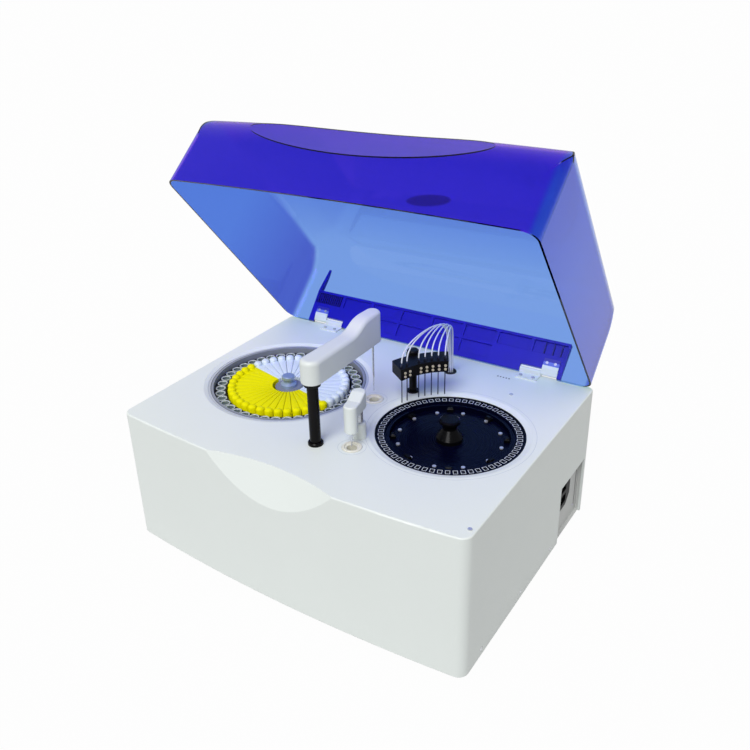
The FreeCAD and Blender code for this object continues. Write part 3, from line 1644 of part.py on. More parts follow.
def lid_block(inset, drop):
    """The lid as a solid: a side view, a bowed plan and a cross-section in common."""
    half = float(half_width) - inset
    top = float(lid_rise) - inset
    low = -float(pivot_rise) + float(lid_gap) - drop
    back = float(lid_back) - inset
    front = float(lid_axis_y) - float(chord_y) - float(lid_setback)
    reach = front + 40
    lean = float(lid_lean) / (float(lid_rise) - low - drop)
    rise = top - low
    corners = [(-back - lean * drop, low), (-back + lean * (rise - drop), top), (reach, top), (reach, low)]
    points = [V(-half, -a, b) for a, b in corners]
    side = Part.Face(Part.makePolygon(points + [points[0]])).extrude(V(2 * half, 0, 0))
    ridge = [e for e in side.Edges if abs(e.Length - 2 * half) < 0.01 and e.CenterOfMass.z > top - 1
             and e.CenterOfMass.y > -front / 2]
    side = side.makeFillet(float(lid_back_round) - inset, ridge)
    rear = [e for e in side.Edges if abs(abs(e.CenterOfMass.x) - half) < 0.01
            and e.CenterOfMass.y > -float(lid_back_round) / 2 and e.Length > float(lid_back_round) / 2]
    side = side.makeFillet(float(lid_rear_corner) - inset, rear)
    plan = bowed_face(inset, float(lid_bow), -front, 60, low).extrude(V(0, 0, rise))
    corners = plan.makeFillet(float(lid_front_corner) - inset, upright_edges(plan, True))
    brow = [e for e in plan.Edges if abs(e.CenterOfMass.z - top) < 0.01 and e.CenterOfMass.y < -front + 20]
    plan = plan.makeFillet(float(lid_front_round) - inset, brow)
    across = shoulder_block(half, top, low, float(lid_shoulder) - inset, float(lid_edge_round) - inset, front + 140)
    return side.common(plan).common(corners).common(across).removeSplitter()


def shoulder_block(half, top, low, radius, edge_radius, length):
    """The lid's cross-section: flat in the middle with a round shoulder to each side."""
    inner = float(lid_shoulder_x)
    kink = math.radians(float(lid_shoulder_kink))
    centre = inner - radius * math.sin(kink)
    height = radius * math.cos(kink)
    outer = height - math.sqrt(radius ** 2 - (half - centre) ** 2)
    between = inner + (half - inner) / 2
    inner_drop = height - math.sqrt(radius ** 2 - (between - centre) ** 2)
    spots = [V(half, 60, low), V(half, 60, top - outer), V(between, 60, top - inner_drop), V(inner, 60, top)]
    mirror = [V(-p.x, p.y, p.z) for p in spots]
    lines = [
        Part.LineSegment(mirror[0], spots[0]),
        Part.LineSegment(spots[0], spots[1]),
        Part.Arc(spots[1], spots[2], spots[3]),
        Part.LineSegment(spots[3], mirror[3]),
        Part.Arc(mirror[3], mirror[2], mirror[1]),
        Part.LineSegment(mirror[1], mirror[0]),
    ]
    wire = Part.Wire([line.toShape() for line in lines])
    block = Part.Face(wire).extrude(V(0, -length, 0))
    edges = [e for e in block.Edges if e.Length > length - 1 and abs(abs(e.CenterOfMass.x) - half) < 0.01
             and e.CenterOfMass.z > 50]
    return block.makeFillet(edge_radius, edges)


def hinge_notches():
    """Clearance in the lid's foot round both hinges."""
    blocks = []
    for side in (-1, 1):
        start = float(hinge_inner) - 1
        wide = float(hinge_outer) + 1 - start
        x = start if side > 0 else -start - wide
        blocks.append(Part.makeBox(wide, 60, float(notch_rise) + 30, V(x, -50, -30)))
    return blocks


def make_lid():
    """The lid shell: one moulded hood with a scoop in its front edge."""
    front = float(lid_axis_y) - float(chord_y) - float(lid_setback)
    back = float(lid_scoop_back)
    down = float(lid_scoop_down)
    depth = back * down / math.hypot(back, down)
    keep_back = float(lid_front_round) * (math.sqrt(2) - 1)
    radius = float(lid_scoop_half) ** 2 / (2 * (depth - keep_back))
    corner = V(0, -front - float(lid_bow), float(lid_rise))
    outer = lid_block(0.0, 0.0).cut(scoop_cutter(back, down, radius, corner, 0.0))
    inner = lid_block(float(lid_wall), 20.0).cut(scoop_cutter(back, down, radius, corner, float(lid_wall)))
    shell = outer.cut([inner] + hinge_notches())
    shell.translate(V(0, float(lid_axis_y), float(lid_axis_z)))
    return shell


formed("lid_shell", opened(make_lid()))


def make_strip():
    """The dark strip along the lid's inner back: sunk fields between upright ribs, and a gusset."""
    foot = float(strip_foot_rise)
    top = float(strip_top)
    left = float(strip_left)
    right = float(strip_right)
    corners = [(inner_back(foot), foot), (inner_back(top), top), (strip_face(top), top), (strip_face(foot), foot)]
    strip = lid_bar(corners, left, right - left)
    fields = []
    count = 8
    rib = 7.0
    step = (right - left) / count
    sink = 3.5
    for k in range(count):
        for low, high in ((2.0, top * 0.45), (top * 0.55, top - 5)):
            if low < 20 and near_hinge(left + (k + 0.5) * step, step / 2):
                continue
            field = [(strip_face(low) - sink, low), (strip_face(high) - sink, high),
                     (strip_face(high) + 1, high), (strip_face(low) + 1, low)]
            fields.append(lid_bar(field, left + k * step + rib / 2, step - rib))
    gusset = [(inner_back(top) - 0.01, top), (inner_back(top * 2.4), top * 2.4), (strip_face(top), top)]
    strip = strip.cut(fields + hinge_notches())
    strip = joined([strip, lid_bar(gusset, left, 6).common(lid_block(float(lid_wall) + 0.1, 0.0))])
    strip.translate(V(0, float(lid_axis_y), float(lid_axis_z)))
    return strip.cut(leaf_screw_bars(-1, leaf_screw, 4) + leaf_screw_bars(1, leaf_screw, 4))


def near_hinge(x, reach):
    """Whether a place along the strip lies over a hinge."""
    return float(hinge_inner) - 8 - reach < abs(x) < float(hinge_outer) + 8 + reach


def lid_bar(corners, start, length):
    """A bar along the lid with a section in the hinge's directions."""
    points = [V(start, -a, b) for a, b in corners]
    return Part.Face(Part.makePolygon(points + [points[0]])).extrude(V(length, 0, 0))


formed("lid_strip", opened(make_strip()))


# Screws

def make_case_screws():
    """The side screws, sunk into the cover and threaded into the pan."""
    screws = []
    for side in (-1, 1):
        for spot in side_screw_spots:
            y = float(spot)
            z = float(side_screw_rise)
            inward = V(-side, 0, 0)
            face = V(side * (float(half_width) - 0.2), y, z)
            head = bar(face, inward, screw_head, float(screw_head_depth), 8)
            shank = bar(face + inward, inward, screw_radius, float(case_wall) + 4, 8)
            screws.append(head.fuse(shank))
    return Part.makeCompound(screws)


def make_panel_screws():
    """Equal screws: those of the fixed leaves, of the deck and of the rear panel."""
    spots = [(side * x, float(hinge_screw_y)) for side in (-1, 1) for x in hinge_screw_spots()]
    depth = float(hinge_foot_thick) + float(case_wall) + 2
    leaves = pan_screws(spots, float(deck) + float(hinge_foot_thick), depth)
    screws = leaves.Solids + pan_screws(deck_screw_spots(), float(deck), depth).Solids
    for x, z in rear_panel_screw_spots():
        screw = pan_screws([(0, 0)], 0, depth).Solids[0]
        screw.rotate(V(0, 0, 0), V(1, 0, 0), -90)
        screw.translate(V(x, float(back_y), z))
        screws.append(screw)
    return Part.makeCompound(screws)


def make_leaf_screws():
    """The screws that hold the moving leaves to the lid's strip."""
    screws = []
    for side in (-1, 1):
        for spot, way in leaf_screw_lines(side):
            face = spot - way * float(leaf_thick)
            head = bar(face, -way, leaf_screw + 1.2, 1.6, 8)
            shank = bar(face, way, leaf_screw, float(leaf_thick) + 3.5, 0)
            screws.append(head.fuse(shank))
    return Part.makeCompound(screws)


formed("case_screws", make_case_screws())
formed("leaf_screws", opened(make_leaf_screws()))
formed("panel_screws", make_panel_screws())


def check():
    """Stops the build if any object failed or any finished shape is not a sound solid."""
    doc.recompute()
    faults = []
    for thing in doc.Objects:
        if "Invalid" in thing.State or "Error" in thing.State:
            faults.append(thing.Name + " failed")
    for thing in pieces:
        shape = thing.Shape
        if shape.isNull() or not shape.isValid() or not shape.Solids:
            faults.append(thing.Label + " is not a sound solid")
    labels = [thing.Label for thing in pieces]
    if len(set(labels)) != len(labels):
        faults.append("two sub-parts share a label")
    if faults:
        raise SystemExit("; ".join(faults))


def write():
    """Writes every sub-part to a file of its own."""
    os.makedirs("parts", exist_ok=True)
    for thing in pieces:
        thing.Shape.exportStep("parts/" + thing.Label + ".step")


check()
write()
print("tube radius", float(tube_radius), "mm, bends from", round(min(bend_radii), 1), "to", round(max(bend_radii), 1), "mm")
print(len(pieces), "sub-parts written")
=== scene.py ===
"""The looks of a bench-top analyzer with its lid open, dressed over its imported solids.

Metres, in the same frame as the solids: +X to the right, +Y to the back, +Z up from the bench.
"""
import math

import bmesh
import bpy
from mathutils import Matrix, Vector


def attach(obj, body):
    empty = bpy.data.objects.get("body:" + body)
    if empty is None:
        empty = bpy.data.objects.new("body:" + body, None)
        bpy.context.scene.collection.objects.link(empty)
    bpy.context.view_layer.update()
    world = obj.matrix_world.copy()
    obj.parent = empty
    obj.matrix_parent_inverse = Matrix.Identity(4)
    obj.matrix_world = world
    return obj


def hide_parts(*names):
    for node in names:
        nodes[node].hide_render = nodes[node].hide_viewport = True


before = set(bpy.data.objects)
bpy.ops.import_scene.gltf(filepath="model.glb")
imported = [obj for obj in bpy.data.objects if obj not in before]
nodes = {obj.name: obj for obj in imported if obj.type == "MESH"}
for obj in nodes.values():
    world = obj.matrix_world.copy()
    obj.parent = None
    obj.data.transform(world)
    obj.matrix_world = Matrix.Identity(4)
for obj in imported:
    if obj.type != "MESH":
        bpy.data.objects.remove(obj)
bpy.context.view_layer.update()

# Places and sizes that the solids also have

deck = 0.2695
reagent = Vector((-0.1622, -0.03394, 0))
reaction = Vector((0.190, -0.04714, 0))
bottle_phase = math.radians(0.2212)
bottle_count = 40
yellow_bottles = range(19, 39)
cup_count = 40
cup_ring = 0.1314
channel_level = deck - 0.014
disc_level = deck - 0.077
slot_ring = 0.1155
ring_top = deck - 0.005
needle_angles = (122, 128, 134, 140, 146, 158, 164)
needle_top = deck + 0.086
grommet = Vector((0.090, 0.14756, 0))
tube_radius = 0.0013
lid_axis = Vector((0, 0.21356, 0.278))
lid_angle = math.radians(50)
strip_foot = -0.007
strip_foot_ahead = 0.00354
strip_slope = 0.18316
field_low = 0.0345
field_high = 0.0565
probe_wash_well = Vector((0.021781, -0.017172, 0))
mixer_wash_well = Vector((0.0767, -0.17264, 0))

# Where the colours change on the lid and its hinge leaves

lid_inner_half = 0.329
front_fade = (0.06, 0.30)
brow_fade = (0.40, 0.46)
under_brow_fade = (0.33, 0.42)
brow_oval_middle = Vector((0.1746, -0.1000, 0.6763))
brow_oval_half_length = 0.033
brow_oval_half_height = 0.010
brow_oval_tilt = 0.16
leaf_white_top = 0.0125
leaf_blue_top = 0.0195


def polar(centre, radius, angle, height=0.0):
    """A point at a radius and an angle in degrees about an upright axis."""
    turn = math.radians(angle)
    return Vector((centre.x + radius * math.cos(turn), centre.y + radius * math.sin(turn), height))


# Finishes

def shade(red, green, blue):
    """A colour as it is seen, 0 to 255, turned into the values that a shader takes."""
    values = []
    for seen in (red, green, blue):
        part = seen / 255
        values.append(part / 12.92 if part <= 0.04045 else ((part + 0.055) / 1.055) ** 2.4)
    return (*values, 1.0)


def scaled(colour, share):
    """A colour made darker or lighter."""
    return tuple(min(1.0, value * share) for value in colour[:3]) + (1.0,)


class Finish:
    """A material under construction, with its shader and the place on the piece."""

    def __init__(self, name):
        self.material = bpy.data.materials.new(name)
        self.material.use_nodes = True
        self.tree = self.material.node_tree
        self.shader = self.tree.nodes["Principled BSDF"]
        self.output = self.tree.nodes["Material Output"]
        self.place = self.add("ShaderNodeTexCoord").outputs["Object"]

    def add(self, kind, **values):
        """A node with its settings, given by name; an underscore stands for a space."""
        node = self.tree.nodes.new(kind)
        for name, value in values.items():
            socket = node.inputs.get(name.replace("_", " "))
            if socket is not None:
                socket.default_value = value
            else:
                setattr(node, name, value)
        return node

    def link(self, source, target):
        self.tree.links.new(source, target)

    def noise(self, scale, detail=2.0, place=None):
        """Soft mottling at a scale in patches per metre."""
        node = self.add("ShaderNodeTexNoise", Scale=scale, Detail=detail)
        self.link(place or self.place, node.inputs["Vector"])
        return node.outputs["Fac"]

    def between(self, value, low, high):
        """A value from 0 to 1 brought between two others."""
        node = self.add("ShaderNodeMapRange", To_Min=low, To_Max=high)
        self.link(value, node.inputs["Value"])
        return node.outputs["Result"]

    def mixed(self, factor, first, second):
        """Two colours, or two sockets of colour, mixed by a factor."""
        node = self.add("ShaderNodeMix", data_type="RGBA")
        self.link(factor, node.inputs["Factor"])
        for colour, socket in ((first, node.inputs["A"]), (second, node.inputs["B"])):
            if isinstance(colour, tuple):
                socket.default_value = colour
            else:
                self.link(colour, socket)
        return node.outputs["Result"]

    def colour(self, source):
        """Gives the shader its colour from a socket or as it stands."""
        if isinstance(source, tuple):
            self.shader.inputs["Base Color"].default_value = source
        else:
            self.link(source, self.shader.inputs["Base Color"])

    def relief(self, height, depth, edge=0.0):
        """Fine relief of a depth in metres, over edges softened by a radius."""
        bump = self.add("ShaderNodeBump", Distance=depth, Strength=1.0)
        self.link(height, bump.inputs["Height"])
        if edge:
            soft = self.add("ShaderNodeBevel", samples=4, Radius=edge)
            self.link(soft.outputs["Normal"], bump.inputs["Normal"])
        self.link(bump.outputs["Normal"], self.shader.inputs["Normal"])

    def set(self, **values):
        """Sets the shader's own sockets."""
        for name, value in values.items():
            self.shader.inputs[name.replace("_", " ")].default_value = value

    def radius_from(self, centre):
        """The distance of each point from an upright axis."""
        turned = self.add("ShaderNodeMapping", Location=(-centre.x, -centre.y, 0), Scale=(1, 1, 0))
        self.link(self.place, turned.inputs["Vector"])
        length = self.add("ShaderNodeVectorMath", operation="LENGTH")
        self.link(turned.outputs["Vector"], length.inputs[0])
        return length.outputs["Value"]

    def beyond(self, value, limit):
        """1 where a value passes a limit, else 0."""
        node = self.add("ShaderNodeMath", operation="GREATER_THAN")
        self.link(value, node.inputs[0])
        node.inputs[1].default_value = limit
        return node.outputs["Value"]

    def product(self, first, second):
        """Two values multiplied."""
        node = self.add("ShaderNodeMath", operation="MULTIPLY")
        self.link(first, node.inputs[0])
        self.link(second, node.inputs[1])
        return node.outputs["Value"]

    def along_lid(self, way, start):
        """How far each point lies from a start along a direction."""
        from_start = self.add("ShaderNodeVectorMath", operation="SUBTRACT")
        self.link(self.place, from_start.inputs[0])
        from_start.inputs[1].default_value = start
        along = self.add("ShaderNodeVectorMath", operation="DOT_PRODUCT")
        self.link(from_start.outputs["Vector"], along.inputs[0])
        along.inputs[1].default_value = way
        return along.outputs["Value"]

    def oval_share(self):
        """1 inside the dark oval on the lid's brow, else 0."""
        length = Vector((1, 0, 0)) / brow_oval_half_length
        height = Vector((-brow_oval_tilt, math.sin(lid_angle), math.cos(lid_angle))) / brow_oval_half_height
        total = self.add("ShaderNodeMath", operation="ADD")
        for way, socket in ((length, total.inputs[0]), (height, total.inputs[1])):
            value = self.along_lid(way, brow_oval_middle)
            self.link(self.product(value, value), socket)
        inside = self.add("ShaderNodeMapRange", From_Min=0.9, From_Max=1.1, To_Min=1.0, To_Max=0.0)
        self.link(total.outputs["Value"], inside.inputs["Value"])
        return inside.outputs["Result"]

    def roughness(self, source):
        """Gives the shader its roughness from a socket."""
        self.link(source, self.shader.inputs["Roughness"])

    def rings(self, centre, scale):
        """Fine turned lines round an upright axis."""
        node = self.add("ShaderNodeTexNoise", noise_dimensions="1D", Scale=scale, Detail=3.0)
        self.link(self.radius_from(centre), node.inputs["W"])
        return node.outputs["Fac"]


def moulded(name, colour, rough, grain=700, depth=0.00004, tone=0.03, edge=0.0004, gloss=0.5):
    """Moulded plastic: fine grain, faint patches and handling marks."""
    finish = Finish(name)
    patches = finish.noise(9, 3.0)
    finish.colour(finish.mixed(patches, scaled(colour, 1 - tone), scaled(colour, 1 + tone)))
    finish.roughness(finish.between(finish.noise(38, 4.0), rough - 0.06, rough + 0.06))
    finish.relief(finish.noise(grain, 2.0), depth, edge)
    finish.set(Specular_IOR_Level=gloss)
    return finish.material


def see_through(name, colour, opacity, rough, rim=None):
    """Thin clear plastic, with a faint waviness and moulding haze; above a height its edge may show paler and
    more opaque, as a painted highlight on the clear edge.
    """
    finish = Finish(name)
    haze = finish.noise(120, 2.0)
    finish.colour(finish.mixed(haze, scaled(colour, 0.92), scaled(colour, 1.05)))
    finish.roughness(finish.between(haze, rough - 0.04, rough + 0.06))
    finish.relief(finish.noise(260, 1.0), 0.00006)
    finish.set(Alpha=opacity)
    # Painted highlight: above the rim height the plastic is paler and more opaque.
    if rim:
        place = finish.add("ShaderNodeSeparateXYZ")
        finish.link(finish.place, place.inputs["Vector"])
        edge = finish.beyond(place.outputs["Z"], rim)
        finish.link(finish.between(edge, opacity, 0.95), finish.shader.inputs["Alpha"])
        finish.colour(finish.mixed(edge, colour, shade(214, 220, 226)))
    return finish.material


def machined(name, colour, rough, grain=1600, depth=0.00001, metal=1.0):
    """Bare metal with a fine directionless scratch grain."""
    finish = Finish(name)
    grey = finish.noise(60, 3.0)
    finish.colour(finish.mixed(grey, scaled(colour, 0.9), scaled(colour, 1.05)))
    finish.roughness(finish.between(finish.noise(grain, 4.0), rough - 0.08, rough + 0.1))
    finish.relief(finish.noise(grain, 2.0), depth, 0.0002)
    finish.set(Metallic=metal)
    return finish.material


def turned(name, colour, centre, rough, metal, lines=900, depth=0.00002, gloss=0.5):
    """A lathe-turned surface whose fine lines run round an upright axis."""
    finish = Finish(name)
    rings = finish.rings(centre, lines)
    finish.colour(finish.mixed(rings, scaled(colour, 0.86), scaled(colour, 1.1)))
    finish.roughness(finish.between(rings, rough - 0.07, rough + 0.1))
    finish.relief(rings, depth, 0.0003)
    finish.set(Metallic=metal, Specular_IOR_Level=gloss)
    return finish.material


def tinted_hood(name, back, front, wall, under_brow, brow, oval, shadow, rough):
    """Clear tinted acrylic, more violet along its brow: light that passes is dyed by it. Its colour by place
    also paints light and shade: lighter low at the back as if lit through, and painted shade, darker toward
    the hinge on the side walls and just behind the brow.
    """
    finish = Finish(name)
    ahead = finish.along_lid(Vector((0, -math.cos(lid_angle), math.sin(lid_angle))), lid_axis)
    shares = []
    for start, end in (front_fade, brow_fade, under_brow_fade):
        share = finish.add("ShaderNodeMapRange", From_Min=start, From_Max=end)
        finish.link(ahead, share.inputs["Value"])
        shares.append(share.outputs["Result"])
    to_front, to_brow, under_edge = shares
    across = finish.add("ShaderNodeSeparateXYZ")
    finish.link(finish.place, across.inputs["Vector"])
    off_middle = finish.add("ShaderNodeMath", operation="ABSOLUTE")
    finish.link(across.outputs["X"], off_middle.inputs[0])
    between_walls = finish.add("ShaderNodeMapRange", From_Min=lid_inner_half, From_Max=lid_inner_half + 0.007,
                               To_Min=1.0, To_Max=0.0)
    finish.link(off_middle.outputs["Value"], between_walls.inputs["Value"])
    on_brow = finish.product(to_brow, between_walls.outputs["Result"])
    # Painted light and shade: the back colour is lighter as if lit through; the wall colour toward the hinge
    # and the under-brow colour are painted shade.
    roof = finish.mixed(under_edge, finish.mixed(to_front, back, front), under_brow)
    plain = finish.mixed(between_walls.outputs["Result"], finish.mixed(to_front, wall, front), roof)
    violet = finish.mixed(finish.oval_share(), brow, oval)
    finish.colour(finish.mixed(on_brow, plain, violet))
    finish.roughness(finish.between(finish.noise(30, 3.0), rough, rough + 0.04))
    finish.set(Transmission_Weight=1.0, IOR=1.3)
    passed = finish.add("ShaderNodeBsdfTransparent", Color=shadow)
    path = finish.add("ShaderNodeLightPath")
    both = finish.add("ShaderNodeMixShader")
    finish.link(path.outputs["Is Shadow Ray"], both.inputs["Fac"])
    finish.link(finish.shader.outputs["BSDF"], both.inputs[1])
    finish.link(passed.outputs["BSDF"], both.inputs[2])
    finish.link(both.outputs["Shader"], finish.output.inputs["Surface"])
    return finish.material


def hinge_leaf():
    """A hinge's leaf: white low down, blue about the screws and deep blue at the top."""
    finish = Finish("leaf, white and blue-tinted metal")
    height = finish.along_lid(Vector((0, math.sin(lid_angle), math.cos(lid_angle))), lid_axis)
    lower = finish.mixed(finish.beyond(height, leaf_white_top), shade(226, 230, 232), shade(98, 112, 220))
    finish.colour(finish.mixed(finish.beyond(height, leaf_blue_top), lower, shade(40, 34, 168)))
    finish.roughness(finish.between(finish.noise(500), 0.26, 0.36))
    finish.relief(finish.noise(900), 0.00002, 0.0004)
    return finish.material


def grooved():
    """The reagent well's rim: pale turned metal outside a groove painted dark as shade, greyer inside it."""
    finish = Finish("well, grey turned metal with a groove")
    rings = finish.rings(reagent, 500)
    radius = finish.radius_from(reagent)
    inside = finish.mixed(rings, shade(132, 138, 150), shade(160, 166, 176))
    # Painted shade: a dark band stands for the groove.
    groove = finish.mixed(finish.beyond(radius, 0.1484), inside, shade(58, 62, 70))
    finish.colour(finish.mixed(finish.beyond(radius, 0.1494), groove, shade(196, 202, 208)))
    finish.roughness(finish.between(rings, 0.34, 0.5))
    finish.relief(rings, 0.00002, 0.0003)
    finish.set(Metallic=0.15)
    return finish.material


def carousel():
    """The reagent disc: pale turned metal inside, a dark channel outside."""
    finish = Finish("reagent disc, grey with a dark channel")
    rings = finish.rings(reagent, 700)
    pale = finish.mixed(rings, shade(120, 126, 138), shade(160, 166, 178))
    outer = finish.beyond(finish.radius_from(reagent), 0.1205)
    finish.colour(finish.mixed(outer, pale, shade(26, 28, 38)))
    finish.roughness(finish.between(rings, 0.3, 0.5))
    finish.relief(rings, 0.00002, 0.0003)
    finish.set(Metallic=0.3)
    return finish.material


def circuit():
    """A green board with pale tracks and dark chips."""
    finish = Finish("green circuit board")
    tracks = finish.add("ShaderNodeTexBrick", Scale=60.0, Mortar_Size=0.03, Color1=shade(20, 90, 45),
                        Color2=shade(16, 78, 40), Mortar=shade(60, 140, 80))
    finish.link(finish.place, tracks.inputs["Vector"])
    high = finish.add("ShaderNodeSeparateXYZ")
    finish.link(finish.place, high.inputs["Vector"])
    chips = finish.beyond(high.outputs["Z"], 0.0194)
    finish.colour(finish.mixed(chips, tracks.outputs["Color"], shade(30, 30, 34)))
    finish.set(Roughness=0.45)
    return finish.material


case_white = moulded("case, white plastic with a fine grain", shade(228, 234, 231), 0.42,
                     grain=900, depth=0.00003, tone=0.012, edge=0.0006)
arm_white = moulded("arm, smooth white plastic", shade(222, 228, 226), 0.38, 500, 0.00003, 0.02, 0.001)
hinge_white = moulded("hinge, white plastic", shade(226, 230, 232), 0.4)
# The lid's back colour is painted light; its wall and under-brow colours are painted shade.
lid_blue = tinted_hood("lid, clear blue acrylic", back=shade(120, 160, 229), front=shade(86, 126, 221),
                       wall=shade(74, 96, 202), under_brow=shade(66, 100, 215), brow=shade(120, 68, 229),
                       oval=shade(84, 36, 168), shadow=shade(206, 230, 196), rough=0.03)
strip_blue = moulded("strip, deep blue plastic", shade(20, 11, 176), 0.34,
                     grain=300, depth=0.00008, tone=0.08, edge=0.0008, gloss=0.3)
leaf_tinted = hinge_leaf()
yellow = moulded("bottle, yellow plastic", shade(238, 232, 2), 0.5, 240, 0.0001, 0.06, 0.0008, gloss=0.05)
milky = moulded("bottle, milky white plastic", shade(218, 231, 240), 0.4, 240, 0.00012, 0.04, 0.0008)
cream = moulded("wash well, cream plastic", shade(228, 226, 212), 0.45)
soft_black = moulded("fitting, satin black", shade(12, 12, 15), 0.42, 900, 0.00003, 0.1, gloss=0.15)
gloss_black = moulded("column, polished black", shade(10, 8, 9), 0.22, 300, 0.00002, 0.15, gloss=0.12)
rubber = moulded("rubber, black", shade(30, 30, 32), 0.75, 500, 0.0001, 0.1)
sheet_grey = moulded("sheet metal, powder coated", shade(206, 208, 206), 0.5, 1400, 0.00005, 0.03)
inlet_black = moulded("inlet, black plastic", shade(5, 5, 7), 0.5, gloss=0.15)
rotor_black = turned("rotor, black-blue anodised", shade(3, 4, 24), reaction, 0.24, 0.0, 500, gloss=0.08)
knob_black = turned("spool knob, polished black", shade(8, 8, 10), reaction, 0.18, 0.0, 1200, gloss=0.1)
well_metal = grooved()
well_dark = turned("reaction well, dark", shade(10, 11, 18), reaction, 0.35, 0.1, gloss=0.3)
hub_metal = turned("hub, turned aluminium", shade(150, 170, 200), reagent, 0.3, 0.35, 1500)
steel = machined("steel, bright", shade(214, 216, 222), 0.26, metal=0.6)
dark_steel = machined("needle, dark steel", shade(96, 100, 120), 0.3)
aluminium = machined("aluminium, milled", shade(186, 188, 192), 0.35)
brass = machined("brass, turned", shade(190, 160, 90), 0.3)
# Pale brass, made paler as a painted glint on the domed screw heads.
screw_glint_pale = machined("clamp screw, pale brass", shade(236, 226, 200), 0.28, metal=0.35)
clear_cup = see_through("cup, clear plastic", shade(172, 190, 190), 0.35, 0.14)
# The cup rims are paler and more opaque than the bodies, as a painted highlight on the clear rim.
cup_rim_highlight = see_through("cup rim, clear plastic", shade(206, 214, 212), 0.75, 0.2)
# The cuvettes' tops take the painted highlight.
clear_cuvette = see_through("cuvette, clear plastic", shade(70, 76, 100), 0.3, 0.12, ring_top + 0.0005)
clear_tube = see_through("tube, clear flexible plastic", shade(236, 240, 248), 0.86, 0.22)
disc_grey = carousel()
board_green = circuit()

dressed = {
    case_white: ("main_cover", "mixer_boss"),
    arm_white: ("probe_arm", "mixer_arm"),
    hinge_white: ("hinge_base_left", "hinge_base_right"),
    lid_blue: ("lid_shell",),
    strip_blue: ("lid_strip",),
    leaf_tinted: ("hinge_leaf_left", "hinge_leaf_right"),
    yellow: ("yellow_bottles",),
    milky: ("white_bottles",),
    cream: ("probe_wash_well", "mixer_wash_well"),
    soft_black: ("wash_block", "wash_column", "wash_bush", "probe_collar", "mixer_collar", "reagent_motor",
                 "reaction_motor"),
    gloss_black: ("probe_column", "probe_flange"),
    rubber: ("rubber_feet", "tube_grommet"),
    sheet_grey: ("bottom_pan", "rear_panel", "inlet_panel", "power_supply"),
    inlet_black: ("power_inlet",),
    rotor_black: ("reaction_rotor", "centre_plate"),
    knob_black: ("rotor_knob",),
    well_metal: ("reagent_well",),
    well_dark: ("reaction_well",),
    hub_metal: ("reagent_knob",),
    steel: ("lift_rods", "hinge_pins", "case_screws", "panel_screws", "rotor_screws", "leaf_screws",
            "reagent_shaft", "reaction_shaft", "mixer_column", "mixer_paddle", "probe_needle"),
    dark_steel: ("wash_needles",),
    aluminium: ("probe_carriage", "mixer_carriage", "wash_carriage", "wash_pumps"),
    brass: ("reagent_bearing", "reaction_bearing"),
    screw_glint_pale: ("wash_screws",),
    clear_cup: ("sample_cups",),
    clear_cuvette: ("cuvettes",),
    clear_tube: ("wash_tubes",),
    disc_grey: ("reagent_disc",),
    board_green: ("control_board",),
}
for material, names in dressed.items():
    for name in names:
        mesh = nodes[name].data
        mesh.materials.clear()
        mesh.materials.append(material)


# Making pieces

def piece(name, mesh, body, material, smooth=True):
    """Turns a finished mesh into a piece that rides on a body."""
    data = bpy.data.meshes.new(name)
    bmesh.ops.recalc_face_normals(mesh, faces=mesh.faces)
    mesh.to_mesh(data)
    mesh.free()
    thing = bpy.data.objects.new(name, data)
    bpy.context.scene.collection.objects.link(thing)
    data.materials.append(material)
    for face in data.polygons:
        face.use_smooth = smooth
    if smooth:
        data.set_sharp_from_angle(angle=math.radians(38))
    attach(thing, body)
    return thing


def spun(mesh, section, steps, centre):
    """Adds a piece turned about an upright axis; its closed section is (radius, height) pairs."""
    points = [mesh.verts.new((centre.x + r, centre.y, z)) for r, z in section]
    edges = [mesh.edges.new(ends) for ends in zip(points, points[1:] + points[:1])]
    bmesh.ops.spin(mesh, geom=points + edges, cent=(centre.x, centre.y, 0), axis=(0, 0, 1),
                   angle=2 * math.pi, steps=steps, use_merge=True, use_duplicate=False)


def repeated(mesh, shape, centre, angles):
    """Adds a copy of a shape at each angle round an upright axis, in place of the shape itself."""
    first = bmesh.new()
    shape(first)
    template = bpy.data.meshes.new("template")
    first.to_mesh(template)
    first.free()
    for angle in angles:
        before = set(mesh.verts)
        mesh.from_mesh(template)
        added = [v for v in mesh.verts if v not in before]
        bmesh.ops.rotate(mesh, verts=added, cent=(0, 0, 0), matrix=Matrix.Rotation(angle, 3, "Z"))
        bmesh.ops.translate(mesh, verts=added, vec=centre)
    bpy.data.meshes.remove(template)


# Reagent bottles

bottle_inner = 0.031
bottle_outer = 0.1176
bottle_middle = 0.1060
bottle_round = 0.0080
bottle_low = 0.0665
bottle_high = 0.0735
bottle_play = 0.00035


def bottle_part(mesh, side, height, soft, segments):
    """A prism that is the same on both sides of +X, with softened upper edges."""
    outline = side + [(x, -y) for x, y in reversed(side)]
    base = mesh.faces.new([mesh.verts.new((x, y, disc_level)) for x, y in outline])
    raised = bmesh.ops.extrude_face_region(mesh, geom=[base])
    top = [v for v in raised["geom"] if isinstance(v, bmesh.types.BMVert)]
    bmesh.ops.translate(mesh, verts=top, vec=(0, 0, height))
    ridge = [e for e in mesh.edges if all(v in top for v in e.verts)]
    bmesh.ops.bevel(mesh, geom=ridge, offset=soft, segments=segments, profile=0.5, affect="EDGES",
                    material=-1)


